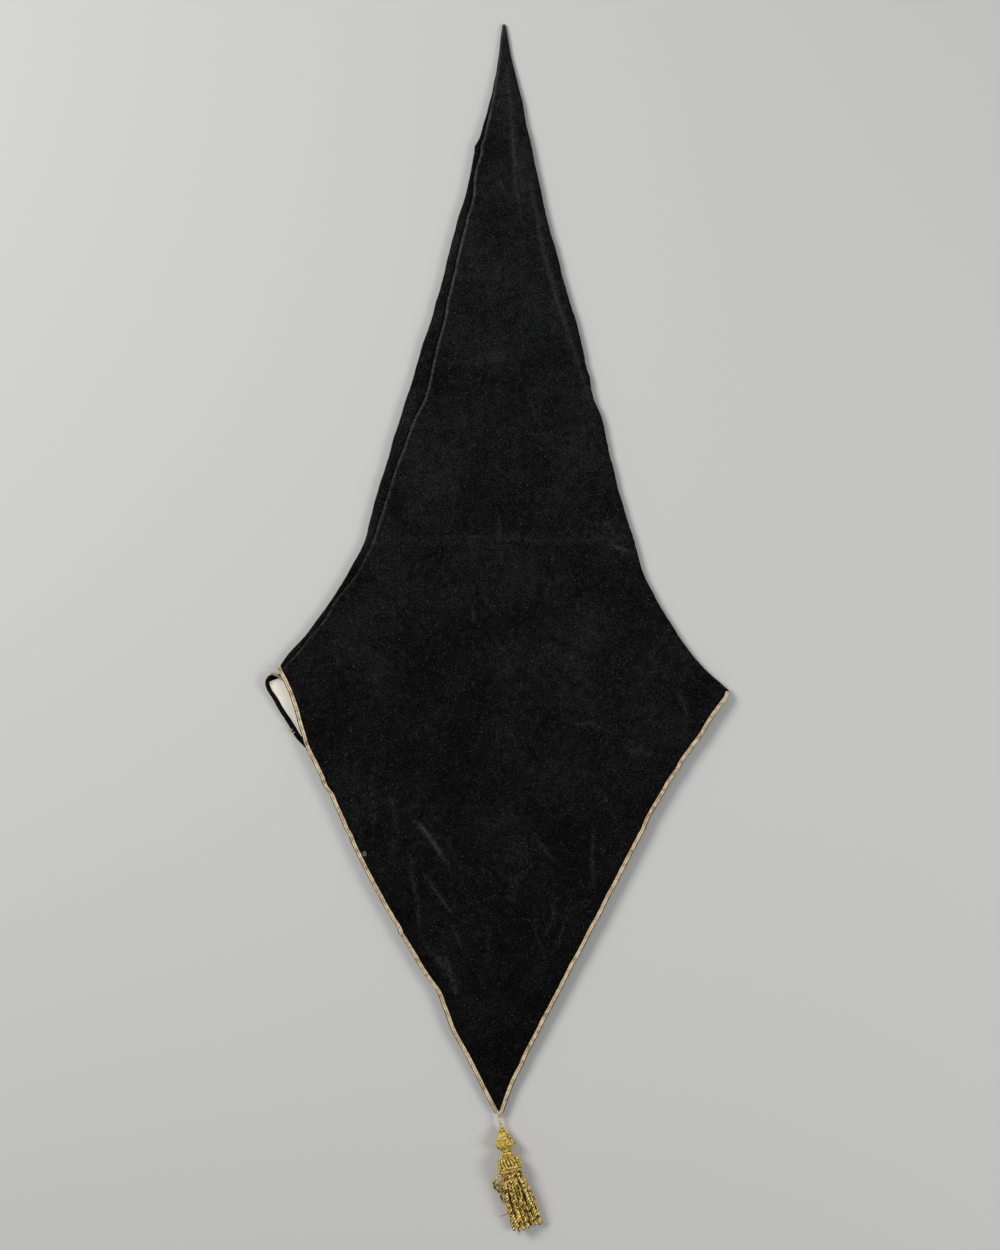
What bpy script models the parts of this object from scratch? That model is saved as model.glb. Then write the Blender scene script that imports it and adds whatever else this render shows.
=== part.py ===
"""A capirote, the tall pointed hood worn in processions, lying flat on its back.

Two black velvet panels are sewn together up both sides, a cream lining hangs inside
each of them, a gold braid edges the pointed mouth, and a gold tassel is tied to the
point of the front hem. The cone's tip points along +Y and the hood lies on Z = 0.
"""

import math
from collections import namedtuple

import bmesh
import bpy
import numpy as np
from mathutils import Vector

MM = 0.001

VELVET_WALL = 1.5 * MM
LINING_WALL = 1.0 * MM
LINING_GAP = 0.5 * MM
SEAM_GAP = 0.3 * MM
FOLD_RADIUS = 4.8 * MM
CROWN_RAMP = 70 * MM
ROW_STEP = 34 * MM

# The hood where it is closed, from the tip down to the two corners. Each row runs
# from the left outline to the right one, seam_in is how far the left seam lies
# inside the outline on the front, and height is the top of the puffed cloth.
Section = namedtuple("Section", "left_x left_y right_x right_y seam_in height")
SECTIONS = [
    Section(5.5, 664.0, 9.9, 664.0, 0.0, 4.0),
    Section(1.1, 626.0, 16.5, 626.0, 0.0, 5.0),
    Section(-7.7, 582.0, 27.5, 582.0, 1.7, 7.0),
    Section(-24.2, 527.0, 38.5, 527.0, 6.6, 9.6),
    Section(-42.9, 450.0, 55.0, 450.0, 9.9, 12.2),
    Section(-66.0, 362.0, 79.2, 362.0, 12.0, 14.2),
    Section(-86.9, 296.0, 96.8, 296.0, 17.6, 15.2),
    Section(-101.5, 248.0, 108.0, 248.0, 20.0, 15.8),
    Section(-114.4, 208.0, 120.5, 208.0, 15.0, 16.2),
    Section(-134.2, 142.0, 137.0, 142.0, 12.1, 16.2),
    Section(-147.0, 95.0, 151.0, 95.0, 9.4, 16.2),
    Section(-165.0, 60.0, 161.7, 60.0, 9.9, 16.0),
    Section(-185.9, 27.0, 180.5, 24.0, 6.0, 15.6),
    Section(-210.1, -6.0, 206.0, -16.0, 6.0, 15.0),
    Section(-229.5, -27.0, 228.0, -43.0, 8.5, 14.6),
    Section(-241.0, -46.0, 254.6, -66.6, 4.5, 14.2),
]

# The front flap of the open mouth, from the corners down to the point. edge is the
# height of its hem and sweep is how far the right hem still turns down, in degrees.
FrontFlap = namedtuple("FrontFlap", "left_x left_y right_x right_y height edge sweep")
FRONT_FLAPS = [
    FrontFlap(-233.5, -57.0, 252.0, -75.0, 14.4, 10.4, 45.0),
    FrontFlap(-227.5, -69.0, 244.5, -86.0, 14.4, 11.4, 15.0),
    FrontFlap(-224.0, -84.0, 236.0, -97.5, 14.4, 11.4, 0.0),
    FrontFlap(-219.5, -101.0, 225.0, -114.0, 14.4, 11.4, 0.0),
    FrontFlap(-211.0, -124.0, 208.0, -139.0, 14.4, 11.4, 0.0),
    FrontFlap(-198.5, -152.0, 190.5, -167.0, 14.4, 11.4, 0.0),
    FrontFlap(-180.5, -188.0, 168.0, -205.0, 14.3, 11.4, 0.0),
    FrontFlap(-149.6, -254.0, 141.5, -257.0, 14.0, 11.4, 0.0),
    FrontFlap(-101.2, -341.6, 98.2, -341.6, 13.4, 11.4, 0.0),
    FrontFlap(-52.0, -429.6, 52.0, -429.6, 12.0, 10.4, 0.0),
    FrontFlap(-30.8, -473.6, 29.5, -473.6, 10.2, 9.2, 0.0),
    FrontFlap(-10.4, -515.0, 11.6, -515.0, 8.0, 7.6, 0.0),
    FrontFlap(-1.8, -531.0, 6.8, -531.0, 7.0, 7.0, 0.0),
]

# The back flap under it. Its left hem curls up into the gaping corner, by curl in
# degrees, and its other hems lie a little inside those of the front flap.
BackFlap = namedtuple("BackFlap", "left_x left_y right_x right_y curl sweep")
BACK_FLAPS = [
    BackFlap(-249.0, -54.0, 250.5, -76.0, 110.0, 45.0),
    BackFlap(-254.6, -63.0, 241.0, -88.0, 55.0, 15.0),
    BackFlap(-249.0, -76.0, 231.0, -100.0, 40.0, 0.0),
    BackFlap(-239.0, -92.0, 219.5, -117.0, 30.0, 0.0),
    BackFlap(-226.0, -111.0, 203.0, -140.0, 20.0, 0.0),
    BackFlap(-209.0, -131.0, 185.0, -168.0, 8.0, 0.0),
    BackFlap(-188.0, -158.0, 162.0, -206.0, 0.0, 0.0),
    BackFlap(-143.0, -254.0, 135.5, -257.0, 0.0, 0.0),
    BackFlap(-94.0, -341.6, 91.5, -341.6, 0.0, 0.0),
    BackFlap(-45.0, -429.6, 45.5, -429.6, 0.0, 0.0),
    BackFlap(-23.5, -473.6, 22.5, -473.6, 0.0, 0.0),
    BackFlap(-5.5, -510.0, 8.0, -510.0, 0.0, 0.0),
]
CURL_STRIP = 3.0 * MM
HEM_LIFT = 2.2 * MM
HEM_LIFT_FLAT = 6.4 * MM
HEM_LIFT_END = 8.8 * MM
HEM_POINT_WIDTH = 20 * MM

# Broad folds and hollows of the front: where each one runs, its half width and how
# far it stands up, or down where that is negative.
Fold = namedtuple("Fold", "x1 y1 x2 y2 half_width rise")
FOLDS = [
    Fold(9.0, 626.0, 27.0, 446.0, 7.0, 0.8),
    Fold(113.0, 112.0, 146.0, 86.0, 16.0, 0.9),
    Fold(-60.0, 190.0, -40.0, 110.0, 45.0, -1.2),
    Fold(-95.0, -195.0, -48.0, -300.0, 24.0, 1.3),
    Fold(60.0, -150.0, 90.0, -240.0, 40.0, -1.1),
    Fold(-150.0, 0.0, -60.0, -40.0, 40.0, 1.0),
    Fold(120.0, 0.0, 190.0, -60.0, 35.0, 1.1),
]
EDGE_RIDGE_IN = 11.0 * MM
EDGE_RIDGE_RISE = 1.1 * MM
EDGE_RIDGE_TOP_Y = 490 * MM
EDGE_RIDGE_END_Y = 235 * MM
SEAM_WELT = 0.8 * MM

# How far from each edge the columns of a panel's mesh stand, in millimetres. The
# first few, up to EDGE_COLUMNS, shape the fold and the hem, and the lining starts
# there. A column with a joint has a second one just past it, across a small gap.
Near = namedtuple("Near", "stops joint")
FRONT_LEFT_NEAR = Near([0.0, 2.6, 5.2, 8.0, 11.0, 17.0, 34.0, 62.0], None)
FRONT_RIGHT_NEAR = Near([0.0, 2.6, 5.2, 8.0, 11.0, 17.0, 34.0, 62.0], 5)
BACK_LEFT_NEAR = Near([0.0, 2.6, 5.2, 8.0, 11.5, 15.0, 18.5, 22.0, 25.5, 29.0, 33.0, 45.0], 10)
BACK_RIGHT_NEAR = Near([0.0, 2.6, 5.2, 8.0, 16.0, 40.0], None)
EDGE_COLUMNS = 3
MIDDLE_COLUMNS = 3

# Each panel is made in three: its tip, its edge where it goes round the fold, and
# the rest. The tip ends here, and the three keep this gap.
TIP_END_Y = 500.0
JOINT_GAP = 0.3 * MM

LINING_START_WIDTH = 60 * MM
LINING_STOP_WIDTH = 45 * MM

BRAID_WIDTH = 4.8 * MM
BRAID_THICK = 1.8 * MM
BRAID_GAP = 0.3 * MM
BRAID_IN = 2.6 * MM

CORD_DIAMETER = 2.6 * MM
CORD_START = Vector((2.5, -534.0, 7.9)) * MM
TASSEL_TOP = Vector((5.2, -546.0, 9.4)) * MM
DOME_CENTRE = Vector((14.3, -588.0, 13.3)) * MM
SKIRT_END = Vector((33.5, -655.0, 7.6)) * MM

# The tassel's head is turned: each pair is a radius and a distance below its top.
KNOB_PROFILE = [
    (0.0, 0.0),
    (2.2, 0.4),
    (3.8, 4.0),
    (6.6, 9.5),
    (9.6, 15.5),
    (9.9, 19.5),
    (7.8, 24.0),
    (5.0, 27.0),
]
COLLAR_PROFILE = [(4.0, 27.5), (6.0, 27.9), (6.5, 29.5), (6.0, 31.2), (4.0, 31.6)]
DOME_PROFILE = [
    (5.0, 32.0),
    (9.4, 33.4),
    (12.2, 37.0),
    (13.0, 41.5),
    (12.6, 46.0),
    (12.9, 48.4),
    (11.6, 50.0),
]

# The skirt's locks are lobes round one core. A valley lies between two locks, and
# each lock ends a little further down than the core.
LOCKS = 14
VALLEY_DEPTH = 0.20
LOCK_LENGTHS = [0.0, 3.2, 1.0, 4.2, 2.2, 5.0, 1.6, 3.6, 0.6, 4.6, 2.8, 1.2, 3.9, 2.0]
VALLEY_SHORT = 4.0
CORE_SHORT = 6.0
# Half the skirt's width and half its height, from the dome down to the ends.
SKIRT_SIZES = [(9.6, 9.4), (12.4, 9.4), (15.6, 8.6), (17.4, 7.6), (17.8, 7.0), (17.4, 6.8)]

VELVET_BLACK = (0.010, 0.010, 0.012)
LINING_CREAM = (0.78, 0.69, 0.57)
BRAID_GOLD = (0.58, 0.43, 0.22)
TASSEL_GOLD = (0.50, 0.31, 0.07)


def clear_scene():
    for old in list(bpy.data.objects):
        bpy.data.objects.remove(old, do_unlink=True)


def principled(name, colour, roughness, metallic):
    material = bpy.data.materials.new(name)
    material.use_nodes = True
    shader = material.node_tree.nodes["Principled BSDF"]
    shader.inputs["Base Color"].default_value = (*colour, 1.0)
    shader.inputs["Roughness"].default_value = roughness
    shader.inputs["Metallic"].default_value = metallic
    return material


def add_object(name, mesh, material):
    mesh.materials.append(material)
    mesh.shade_smooth()
    mesh.set_sharp_from_angle(angle=math.radians(50))
    thing = bpy.data.objects.new(name, mesh)
    bpy.context.scene.collection.objects.link(thing)
    return thing


def mesh_from(name, points, faces):
    shape = bmesh.new()
    corners = [shape.verts.new(point) for point in points]
    for face in faces:
        shape.faces.new([corners[index] for index in face])
    spare = [corner for corner in corners if not corner.link_faces]
    bmesh.ops.delete(shape, geom=spare, context="VERTS")
    bmesh.ops.recalc_face_normals(shape, faces=shape.faces)
    mesh = bpy.data.meshes.new(name)
    shape.to_mesh(mesh)
    shape.free()
    return mesh


def smoothstep(value):
    value = np.clip(value, 0.0, 1.0)
    return value * value * (3.0 - 2.0 * value)


def in_between(rows, step):
    """The rows of a table with smooth rows added where two of them lie far apart."""
    table = np.array(rows, float)
    places = np.concatenate([[0.0], np.cumsum(np.hypot(*np.diff(table[:, :2], axis=0).T))])
    slopes = np.gradient(table, places, axis=0)
    out = []
    for i in range(len(rows) - 1):
        span = places[i + 1] - places[i]
        parts = max(1, round(span * MM / step))
        for t in np.arange(parts) / parts:
            out.append(
                (2 * t**3 - 3 * t**2 + 1) * table[i]
                + (t**3 - 2 * t**2 + t) * span * slopes[i]
                + (3 * t**2 - 2 * t**3) * table[i + 1]
                + (t**3 - t**2) * span * slopes[i + 1]
            )
    out.append(table[-1])
    return [type(rows[0])(*row) for row in out]


def line_of(row):
    """The left end, the direction and the width of a row, seen from above."""
    left = np.array([row.left_x, row.left_y]) * MM
    right = np.array([row.right_x, row.right_y]) * MM
    width = float(np.linalg.norm(right - left))
    return left, (right - left) / width, width


def arc(centre, radius, start, stop):
    """Points and outward normals on an arc, from angles in degrees with 0 pointing down."""
    turn = np.radians(np.linspace(start, stop, 40))
    normals = np.column_stack([-np.sin(turn), -np.cos(turn)])
    return np.array(centre) + radius * normals, normals


def crown(first, last, low, high, edge, height):
    """The puffed top between two places, low and high being where it starts to rise."""
    across = np.linspace(first, last, 400)
    ramp = min(CROWN_RAMP, (high - low) / 2)
    inside = np.minimum(across - low, high - across)
    z = edge + (height - edge) * smoothstep(inside / ramp)
    slope = np.gradient(z, across)
    normals = np.column_stack([-slope, np.ones_like(slope)])
    return np.column_stack([across, z]), normals / np.linalg.norm(normals, axis=1)[:, None]


def floor_line(first, last):
    across = np.linspace(first, last, 200)
    flat = np.column_stack([across, np.zeros_like(across)])
    return flat, np.tile([0.0, -1.0], (len(across), 1))


def joined(*pieces):
    return tuple(np.concatenate(group) for group in zip(*pieces))


def closed_profiles(row):
    """The outer line of the front and of the back panel where the hood is closed."""
    width = line_of(row)[2]
    height = row.height * MM
    seam = row.seam_in * MM
    radius = min(FOLD_RADIUS, height / 2, 0.48 * width)
    low = (radius, radius)
    high = (width - radius, radius)
    rise = (radius, width - radius, 2 * radius, height)
    start = max(seam, radius)
    top = crown(start, width - radius, *rise)
    right = arc(high, radius, 180, 270)
    lower_right = arc(high, radius, 360, 270)
    bottom = floor_line(radius, width - radius)
    if seam < radius:
        # The seam lies on the fold itself, at this angle up its arc.
        seam_angle = 180 - math.degrees(math.asin(1 - seam / radius))
        front = joined(arc(low, radius, seam_angle, 180), top, right)
        back = joined(arc(low, radius, seam_angle, 0), bottom, lower_right)
    else:
        # The back panel comes round the fold and runs on over the top to the seam.
        strip = crown(seam, radius, *rise)
        front = joined(top, right)
        back = joined(strip, arc(low, radius, 180, 0), bottom, lower_right)
    return front, back


def front_flap_profile(row):
    width = line_of(row)[2]
    edge = row.edge * MM
    sweep = math.radians(row.sweep)
    turned = FOLD_RADIUS * math.sin(sweep)
    top = crown(0.0, width - turned, 0.0, width - turned, edge, row.height * MM)
    if row.sweep <= 0:
        return top
    bend = arc((width - turned, edge - FOLD_RADIUS), FOLD_RADIUS, 180, 180 + row.sweep)
    return joined(top, bend)


def back_flap_profile(row):
    """The outer line of the back flap, from its left hem to its right hem."""
    width = line_of(row)[2]
    curl = math.radians(row.curl)
    radius = FOLD_RADIUS + 0.03 * MM * (110 - row.curl)
    reach = radius * math.sin(curl) + max(0.0, CURL_STRIP * math.cos(curl))
    start = max(reach, radius * math.sin(min(curl, math.pi / 2)))
    bend = arc((start, radius), radius, row.curl, 0)
    along = np.linspace(CURL_STRIP, 0.0, 12)[:-1, None]
    strip_way = np.array([-math.cos(curl), math.sin(curl)])
    strip = (bend[0][0] + along * strip_way, np.tile(bend[1][0], (11, 1)))
    sweep = math.radians(row.sweep)
    turned = FOLD_RADIUS * math.sin(sweep)
    pieces = [strip, bend, floor_line(start, width - turned)]
    if row.sweep > 0:
        pieces.append(arc((width - turned, FOLD_RADIUS), FOLD_RADIUS, 360, 360 - row.sweep))
    points, normals = joined(*pieces)
    run = lengths_along(points)
    slope = HEM_LIFT_END - HEM_LIFT_FLAT
    near_left = 1 - smoothstep((run - HEM_LIFT_FLAT) / slope)
    near_right = 1 - smoothstep((run[-1] - run - HEM_LIFT_FLAT) / slope)
    left_share = min(1.0, (120 - row.curl) / 60)
    near_point = 1 - smoothstep((width - HEM_POINT_WIDTH) / (15 * MM))
    share = np.maximum(np.maximum(near_left * left_share, near_right), near_point)
    points = points + np.column_stack([np.zeros_like(share), HEM_LIFT * share])
    return points, normals


def lengths_along(points):
    steps = np.linalg.norm(np.diff(points, axis=0), axis=1)
    return np.concatenate([[0.0], np.cumsum(steps)])


def near_edge(length, near):
    """The columns near one edge, drawn together where the panel is narrow."""
    stops = np.array(near.stops) * MM
    hem = stops[EDGE_COLUMNS]
    tight = min(1.0, 0.36 * length / hem)
    squeeze = min(1.0, (0.43 * length - hem * tight) / (stops[-1] - hem))
    stops = np.where(stops <= hem, stops * tight, hem * tight + (stops - hem) * squeeze)
    if near.joint is None:
        return stops
    gap = min(JOINT_GAP, (stops[near.joint + 1] - stops[near.joint]) / 2)
    return np.insert(stops, near.joint + 1, stops[near.joint] + gap)


def columns(length, left_near, right_near):
    left = near_edge(length, left_near)
    right = length - near_edge(length, right_near)[::-1]
    middle = np.linspace(left[-1], right[0], MIDDLE_COLUMNS + 2)[1:-1]
    return np.concatenate([left, middle, right])


def sample(profile, start_gap, end_gap, left_near, right_near):
    points, normals = profile
    run = lengths_along(points)
    wanted = columns(run[-1] - start_gap - end_gap, left_near, right_near) + start_gap
    picked = np.column_stack([np.interp(wanted, run, part) for part in (*points.T, *normals.T)])
    lengths = np.linalg.norm(picked[:, 2:], axis=1)[:, None]
    return picked[:, :2], picked[:, 2:] / lengths


def fold_rise(points):
    """How far the folds and hollows lift each point of the front."""
    rise = np.zeros(len(points))
    for fold in FOLDS:
        first = np.array([fold.x1, fold.y1]) * MM
        way = np.array([fold.x2, fold.y2]) * MM - first
        share = np.clip((points[:, :2] - first) @ way / (way @ way), 0, 1)
        off = np.linalg.norm(points[:, :2] - first - share[:, None] * way, axis=1)
        rise += fold.rise * MM * np.exp(-((off / (fold.half_width * MM)) ** 2))
    return rise


def edge_ridge(points, inside):
    """The soft ridge that runs inside the right outline of the cone."""
    share = (EDGE_RIDGE_TOP_Y - points[:, 1]) / (EDGE_RIDGE_TOP_Y - EDGE_RIDGE_END_Y)
    fade = smoothstep(share / 0.2) * smoothstep((1 - share) / 0.3)
    return EDGE_RIDGE_RISE * fade * np.exp(-(((inside - EDGE_RIDGE_IN) / (4 * MM)) ** 2))


def placed(row, flat_points, flat_normals):
    left, way, _ = line_of(row)
    plan = left + flat_points[:, :1] * way
    points = np.column_stack([plan, flat_points[:, 1]])
    normals = np.column_stack([flat_normals[:, :1] * way, flat_normals[:, 1]])
    return points, normals


def front_grid(closed_rows, flap_rows):
    grid = []
    for row in closed_rows + flap_rows:
        closed = hasattr(row, "seam_in")
        profile = closed_profiles(row)[0] if closed else front_flap_profile(row)
        gap = SEAM_GAP / 2 if closed else 0.0
        flat = sample(profile, gap, gap, FRONT_LEFT_NEAR, FRONT_RIGHT_NEAR)
        points, normals = placed(row, *flat)
        width = line_of(row)[2]
        calm = smoothstep((width - 8 * MM) / (60 * MM))
        away = np.minimum(flat[0][:, 0], width - flat[0][:, 0])
        points[:, 2] += fold_rise(points) * calm * smoothstep((away - 3 * MM) / (14 * MM))
        points[:, 2] += edge_ridge(points, width - flat[0][:, 0])
        if closed:
            points[0, 2] += SEAM_WELT * calm
        grid.append((points, normals))
    return grid


def back_grid(closed_rows, flap_rows):
    grid = []
    for row in closed_rows + flap_rows:
        closed = hasattr(row, "seam_in")
        profile = closed_profiles(row)[1] if closed else back_flap_profile(row)
        gap = SEAM_GAP / 2 if closed else 0.0
        flat = sample(profile, gap, gap, BACK_LEFT_NEAR, BACK_RIGHT_NEAR)
        points, normals = placed(row, *flat)
        if closed:
            points[0, 2] += SEAM_WELT * smoothstep((line_of(row)[2] - 8 * MM) / (60 * MM))
        grid.append((points, normals))
    return grid


def sheet_mesh(name, grid, depth, walls, cells=None):
    """A closed wall of cloth over the cells of the grid: its outer side lies at depth."""
    outer = [points - normals * depth for points, normals in grid]
    inner = [points - normals * (depth + wall) for (points, normals), wall in zip(grid, walls)]
    rows = len(grid)
    across = len(outer[0])
    corners = [tuple(point) for side in (outer, inner) for row in side for point in row]
    under = rows * across
    faces = []
    ways = set()
    for i, j in np.argwhere(np.ones((rows - 1, across - 1)) if cells is None else cells):
        a = int(i) * across + int(j)
        b = a + across
        faces += [(a, b, a + 1), (a + 1, b, b + 1)]
        faces += [(under + a, under + a + 1, under + b)]
        faces += [(under + a + 1, under + b + 1, under + b)]
        ways.update([(a, b), (b, b + 1), (b + 1, a + 1), (a + 1, a)])
    # An edge that only one cell has is on the rim.
    for a, b in sorted(ways):
        if (b, a) not in ways:
            faces += [(a, under + a, b), (b, under + a, under + b)]
    return mesh_from(name, corners, faces)


def with_joint(rows, wanted):
    """The rows with one more just past the first that is wanted, and the place of that one."""
    place = next(i for i, row in enumerate(rows) if wanted(row))
    row, after = np.array(rows[place]), np.array(rows[place + 1])
    share = JOINT_GAP / MM / np.hypot(*(after - row)[:2])
    extra = type(rows[0])(*(row + (after - row) * share))
    return rows[: place + 1] + [extra] + rows[place + 1 :], place


def panel_parts(grid, tip_row, fold_row, joint, from_right):
    """The cells of a panel's tip, of its edge round the fold and of the rest."""
    row, column = np.indices((len(grid) - 1, len(grid[0][0]) - 1))
    inward = column.max() - column if from_right else column
    below = row > tip_row
    beside = below & (row <= fold_row) & (inward <= joint)
    fold = beside & (row < fold_row) & (inward < joint)
    return row < tip_row, fold, below & ~beside


def lined_part(grid, widths):
    """The rows and columns that the lining covers: it stops inside the hems and the tip."""
    first = next(i for i, width in enumerate(widths) if width > LINING_START_WIDTH)
    last = max(i for i, width in enumerate(widths) if width > LINING_STOP_WIDTH)
    cut = slice(EDGE_COLUMNS, -EDGE_COLUMNS)
    return [(points[cut], normals[cut]) for points, normals in grid[first : last + 1]]


def ribbon_mesh(name, path, normals):
    """A flat braid with rounded edges, swept along a path with the cloth's normals."""
    section = [(-0.5, -0.2), (-0.36, -0.5), (0.36, -0.5), (0.5, -0.2), (0.42, 0.5), (-0.42, 0.5)]
    path = np.array(path)
    rings = []
    for i, (point, normal) in enumerate(zip(path, normals)):
        ahead = path[min(i + 1, len(path) - 1)] - point
        behind = point - path[max(i - 1, 0)]
        ways = [way / np.linalg.norm(way) for way in (ahead, behind) if np.linalg.norm(way) > 0]
        along = sum(ways) / np.linalg.norm(sum(ways))
        side = np.cross(normal, along)
        side /= np.linalg.norm(side)
        mitre = 1.0 if len(ways) == 1 else 1.0 / max(0.5, float(ways[0] @ along))
        up = np.cross(along, side)
        for across, out in section:
            rings.append(point + side * across * BRAID_WIDTH * mitre + up * out * BRAID_THICK)
    count = len(section)
    faces = [tuple(range(count)), tuple(range(len(rings) - count, len(rings)))]
    for i in range(len(path) - 1):
        for j in range(count):
            a = i * count + j
            b = i * count + (j + 1) % count
            faces.append((a, b, b + count, a + count))
    return mesh_from(name, rings, faces)


def inboard(points, normals, distance):
    """The place and normal on a row at a distance from its first point."""
    run = lengths_along(points)
    pick = [np.interp(distance, run, part) for part in (*points.T, *normals.T)]
    return np.array(pick[:3]), np.array(pick[3:]) / np.linalg.norm(pick[3:])


def hem_path(rows):
    """The braid's middle line on a flap, down the left hem and up the right one."""
    steps = [np.linalg.norm(b[0][0] - a[0][0]) for a, b in zip(rows, rows[1:])]
    rows = rows[:1] + [row for row, step in zip(rows[1:], steps) if step > 2 * JOINT_GAP]
    left = [inboard(points, normals, BRAID_IN) for points, normals in rows]
    right = [inboard(points[::-1], normals[::-1], BRAID_IN) for points, normals in rows]
    stops = left + right[::-1]
    lift = BRAID_GAP + BRAID_THICK / 2
    return [place + normal * lift for place, normal in stops], [normal for _, normal in stops]


def turned_mesh(name, profile, sides):
    """A solid of revolution about Z from (radius, height) pairs in millimetres."""
    shape = bmesh.new()
    ends = [(0.0, profile[0][1])] * (profile[0][0] > 0) + profile + [(0.0, profile[-1][1])]
    corners = [shape.verts.new((radius * MM, 0.0, -height * MM)) for radius, height in ends]
    edges = [shape.edges.new(pair) for pair in zip(corners, corners[1:])]
    bmesh.ops.spin(
        shape,
        geom=corners + edges,
        axis=(0, 0, 1),
        cent=(0, 0, 0),
        angle=2 * math.pi,
        steps=sides,
        use_merge=True,
    )
    bmesh.ops.remove_doubles(shape, verts=shape.verts, dist=0.01 * MM)
    bmesh.ops.recalc_face_normals(shape, faces=shape.faces)
    mesh = bpy.data.meshes.new(name)
    shape.to_mesh(mesh)
    shape.free()
    return mesh


def make_hood(velvet, lining, braid):
    closed, tip_row = with_joint(
        in_between(SECTIONS, ROW_STEP), lambda row: row.left_y < TIP_END_Y
    )
    front_flaps, front_fold_end = with_joint(
        in_between(FRONT_FLAPS, ROW_STEP), lambda row: row.sweep <= 0
    )
    back_flaps, back_fold_end = with_joint(
        in_between(BACK_FLAPS, ROW_STEP), lambda row: row.curl <= 0
    )
    front = front_grid(closed, front_flaps)
    back = back_grid(closed, back_flaps)
    # The walls meet in the tip, so the cone is closed there.
    tip_wall = closed[0].height * MM / 2 - SEAM_GAP / 2
    for name, grid, fold_end, near, from_right in (
        ("velvet_front", front, front_fold_end, FRONT_RIGHT_NEAR, True),
        ("velvet_back", back, back_fold_end, BACK_LEFT_NEAR, False),
    ):
        walls = [tip_wall] + [VELVET_WALL] * (len(grid) - 1)
        parts = panel_parts(grid, tip_row, len(closed) + fold_end, near.joint, from_right)
        for part, cells in zip(("_tip", "_fold", ""), parts):
            add_object(name + part, sheet_mesh(name + part, grid, 0.0, walls, cells), velvet)
    depth = VELVET_WALL + LINING_GAP
    for name, grid, flaps in (
        ("lining_front", front, front_flaps),
        ("lining_back", back, back_flaps),
    ):
        lined = lined_part(grid, [line_of(row)[2] for row in closed + flaps])
        mesh = sheet_mesh(name, lined, depth, [LINING_WALL] * len(lined))
        add_object(name, mesh, lining)
    front_hem = hem_path(front[len(closed) :])
    back_hem = hem_path(back[len(closed) + 1 :])
    add_object("hem_braid_front", ribbon_mesh("hem_braid_front", *front_hem), braid)
    add_object("hem_braid_back", ribbon_mesh("hem_braid_back", *back_hem), braid)


def make_tassel_cord(gold):
    curve = bpy.data.curves.new("tassel_cord", "CURVE")
    curve.dimensions = "3D"
    curve.bevel_depth = CORD_DIAMETER / 2
    curve.bevel_resolution = 2
    curve.use_fill_caps = True
    spline = curve.splines.new("POLY")
    end = TASSEL_TOP + Vector((0, 0.4, 0)) * MM
    bow = Vector((-0.6, 0.0, 0.3)) * MM
    spline.points.add(4)
    for i in range(5):
        share = i / 4
        place = CORD_START.lerp(end, share) + bow * math.sin(math.pi * share)
        spline.points[i].co = (*place, 1.0)
    curve.materials.append(gold)
    thing = bpy.data.objects.new("tassel_cord", curve)
    bpy.context.scene.collection.objects.link(thing)


def make_tassel_head(gold):
    """The knob, the collar and the dome, turned on one axis that leans with the tassel."""
    way = (DOME_CENTRE - TASSEL_TOP).normalized()
    turn = Vector((0, 0, -1)).rotation_difference(way)
    for name, profile, sides in (
        ("tassel_knob", KNOB_PROFILE, 12),
        ("tassel_collar", COLLAR_PROFILE, 12),
        ("tassel_dome", DOME_PROFILE, 14),
    ):
        thing = add_object(name, turned_mesh(name, profile, sides), gold)
        thing.rotation_mode = "QUATERNION"
        thing.rotation_quaternion = turn
        thing.location = TASSEL_TOP


def make_skirt(gold):
    """The bullion skirt, flattened where it lies on the surface."""
    head_way = (DOME_CENTRE - TASSEL_TOP).normalized()
    top = TASSEL_TOP + head_way * (DOME_PROFILE[-1][1] + 0.3) * MM
    end_way = (SKIRT_END - top).normalized()
    # A lock's points: the valley before it, then the two sides of its ridge.
    lobe = [(-0.5, VALLEY_DEPTH), (-0.2, 0.0), (0.2, 0.0)]
    last = len(SKIRT_SIZES) - 1
    points = []
    for i, (half_width, half_height) in enumerate(SKIRT_SIZES):
        share = i / last
        way = head_way.lerp(end_way, min(1.0, share * 2)).normalized()
        side = way.cross(Vector((0, 0, 1))).normalized()
        up = side.cross(way)
        centre = top.lerp(SKIRT_END, share)
        centre.z = max(centre.z, (half_height + 0.2) * MM)
        for lock in range(LOCKS):
            for place, depth in lobe:
                angle = 2 * math.pi * (lock + place) / LOCKS
                size = (1 - depth * min(1.0, 0.35 + share)) * MM
                point = centre + side * math.cos(angle) * half_width * size
                point += up * math.sin(angle) * half_height * size
                if i == last:
                    point += way * (LOCK_LENGTHS[lock] if depth == 0 else -VALLEY_SHORT) * MM
                points.append(point)
    ring = LOCKS * len(lobe)
    points += [top, SKIRT_END - end_way * CORE_SHORT * MM]
    faces = []
    for j in range(ring):
        k = (j + 1) % ring
        faces.append((len(points) - 2, k, j))
        faces.append((len(points) - 1, last * ring + j, last * ring + k))
        for i in range(last):
            faces.append((i * ring + j, i * ring + k, (i + 1) * ring + k, (i + 1) * ring + j))
    add_object("tassel_skirt", mesh_from("tassel_skirt", points, faces), gold)


clear_scene()
velvet_cloth = principled("black_velvet", VELVET_BLACK, 0.9, 0.0)
lining_cloth = principled("cream_lining", LINING_CREAM, 0.85, 0.0)
braid_gold = principled("pale_gold_braid", BRAID_GOLD, 0.45, 0.6)
tassel_gold = principled("gold_thread", TASSEL_GOLD, 0.4, 0.7)
make_hood(velvet_cloth, lining_cloth, braid_gold)
make_tassel_cord(tassel_gold)
make_tassel_head(tassel_gold)
make_skirt(tassel_gold)
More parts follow.
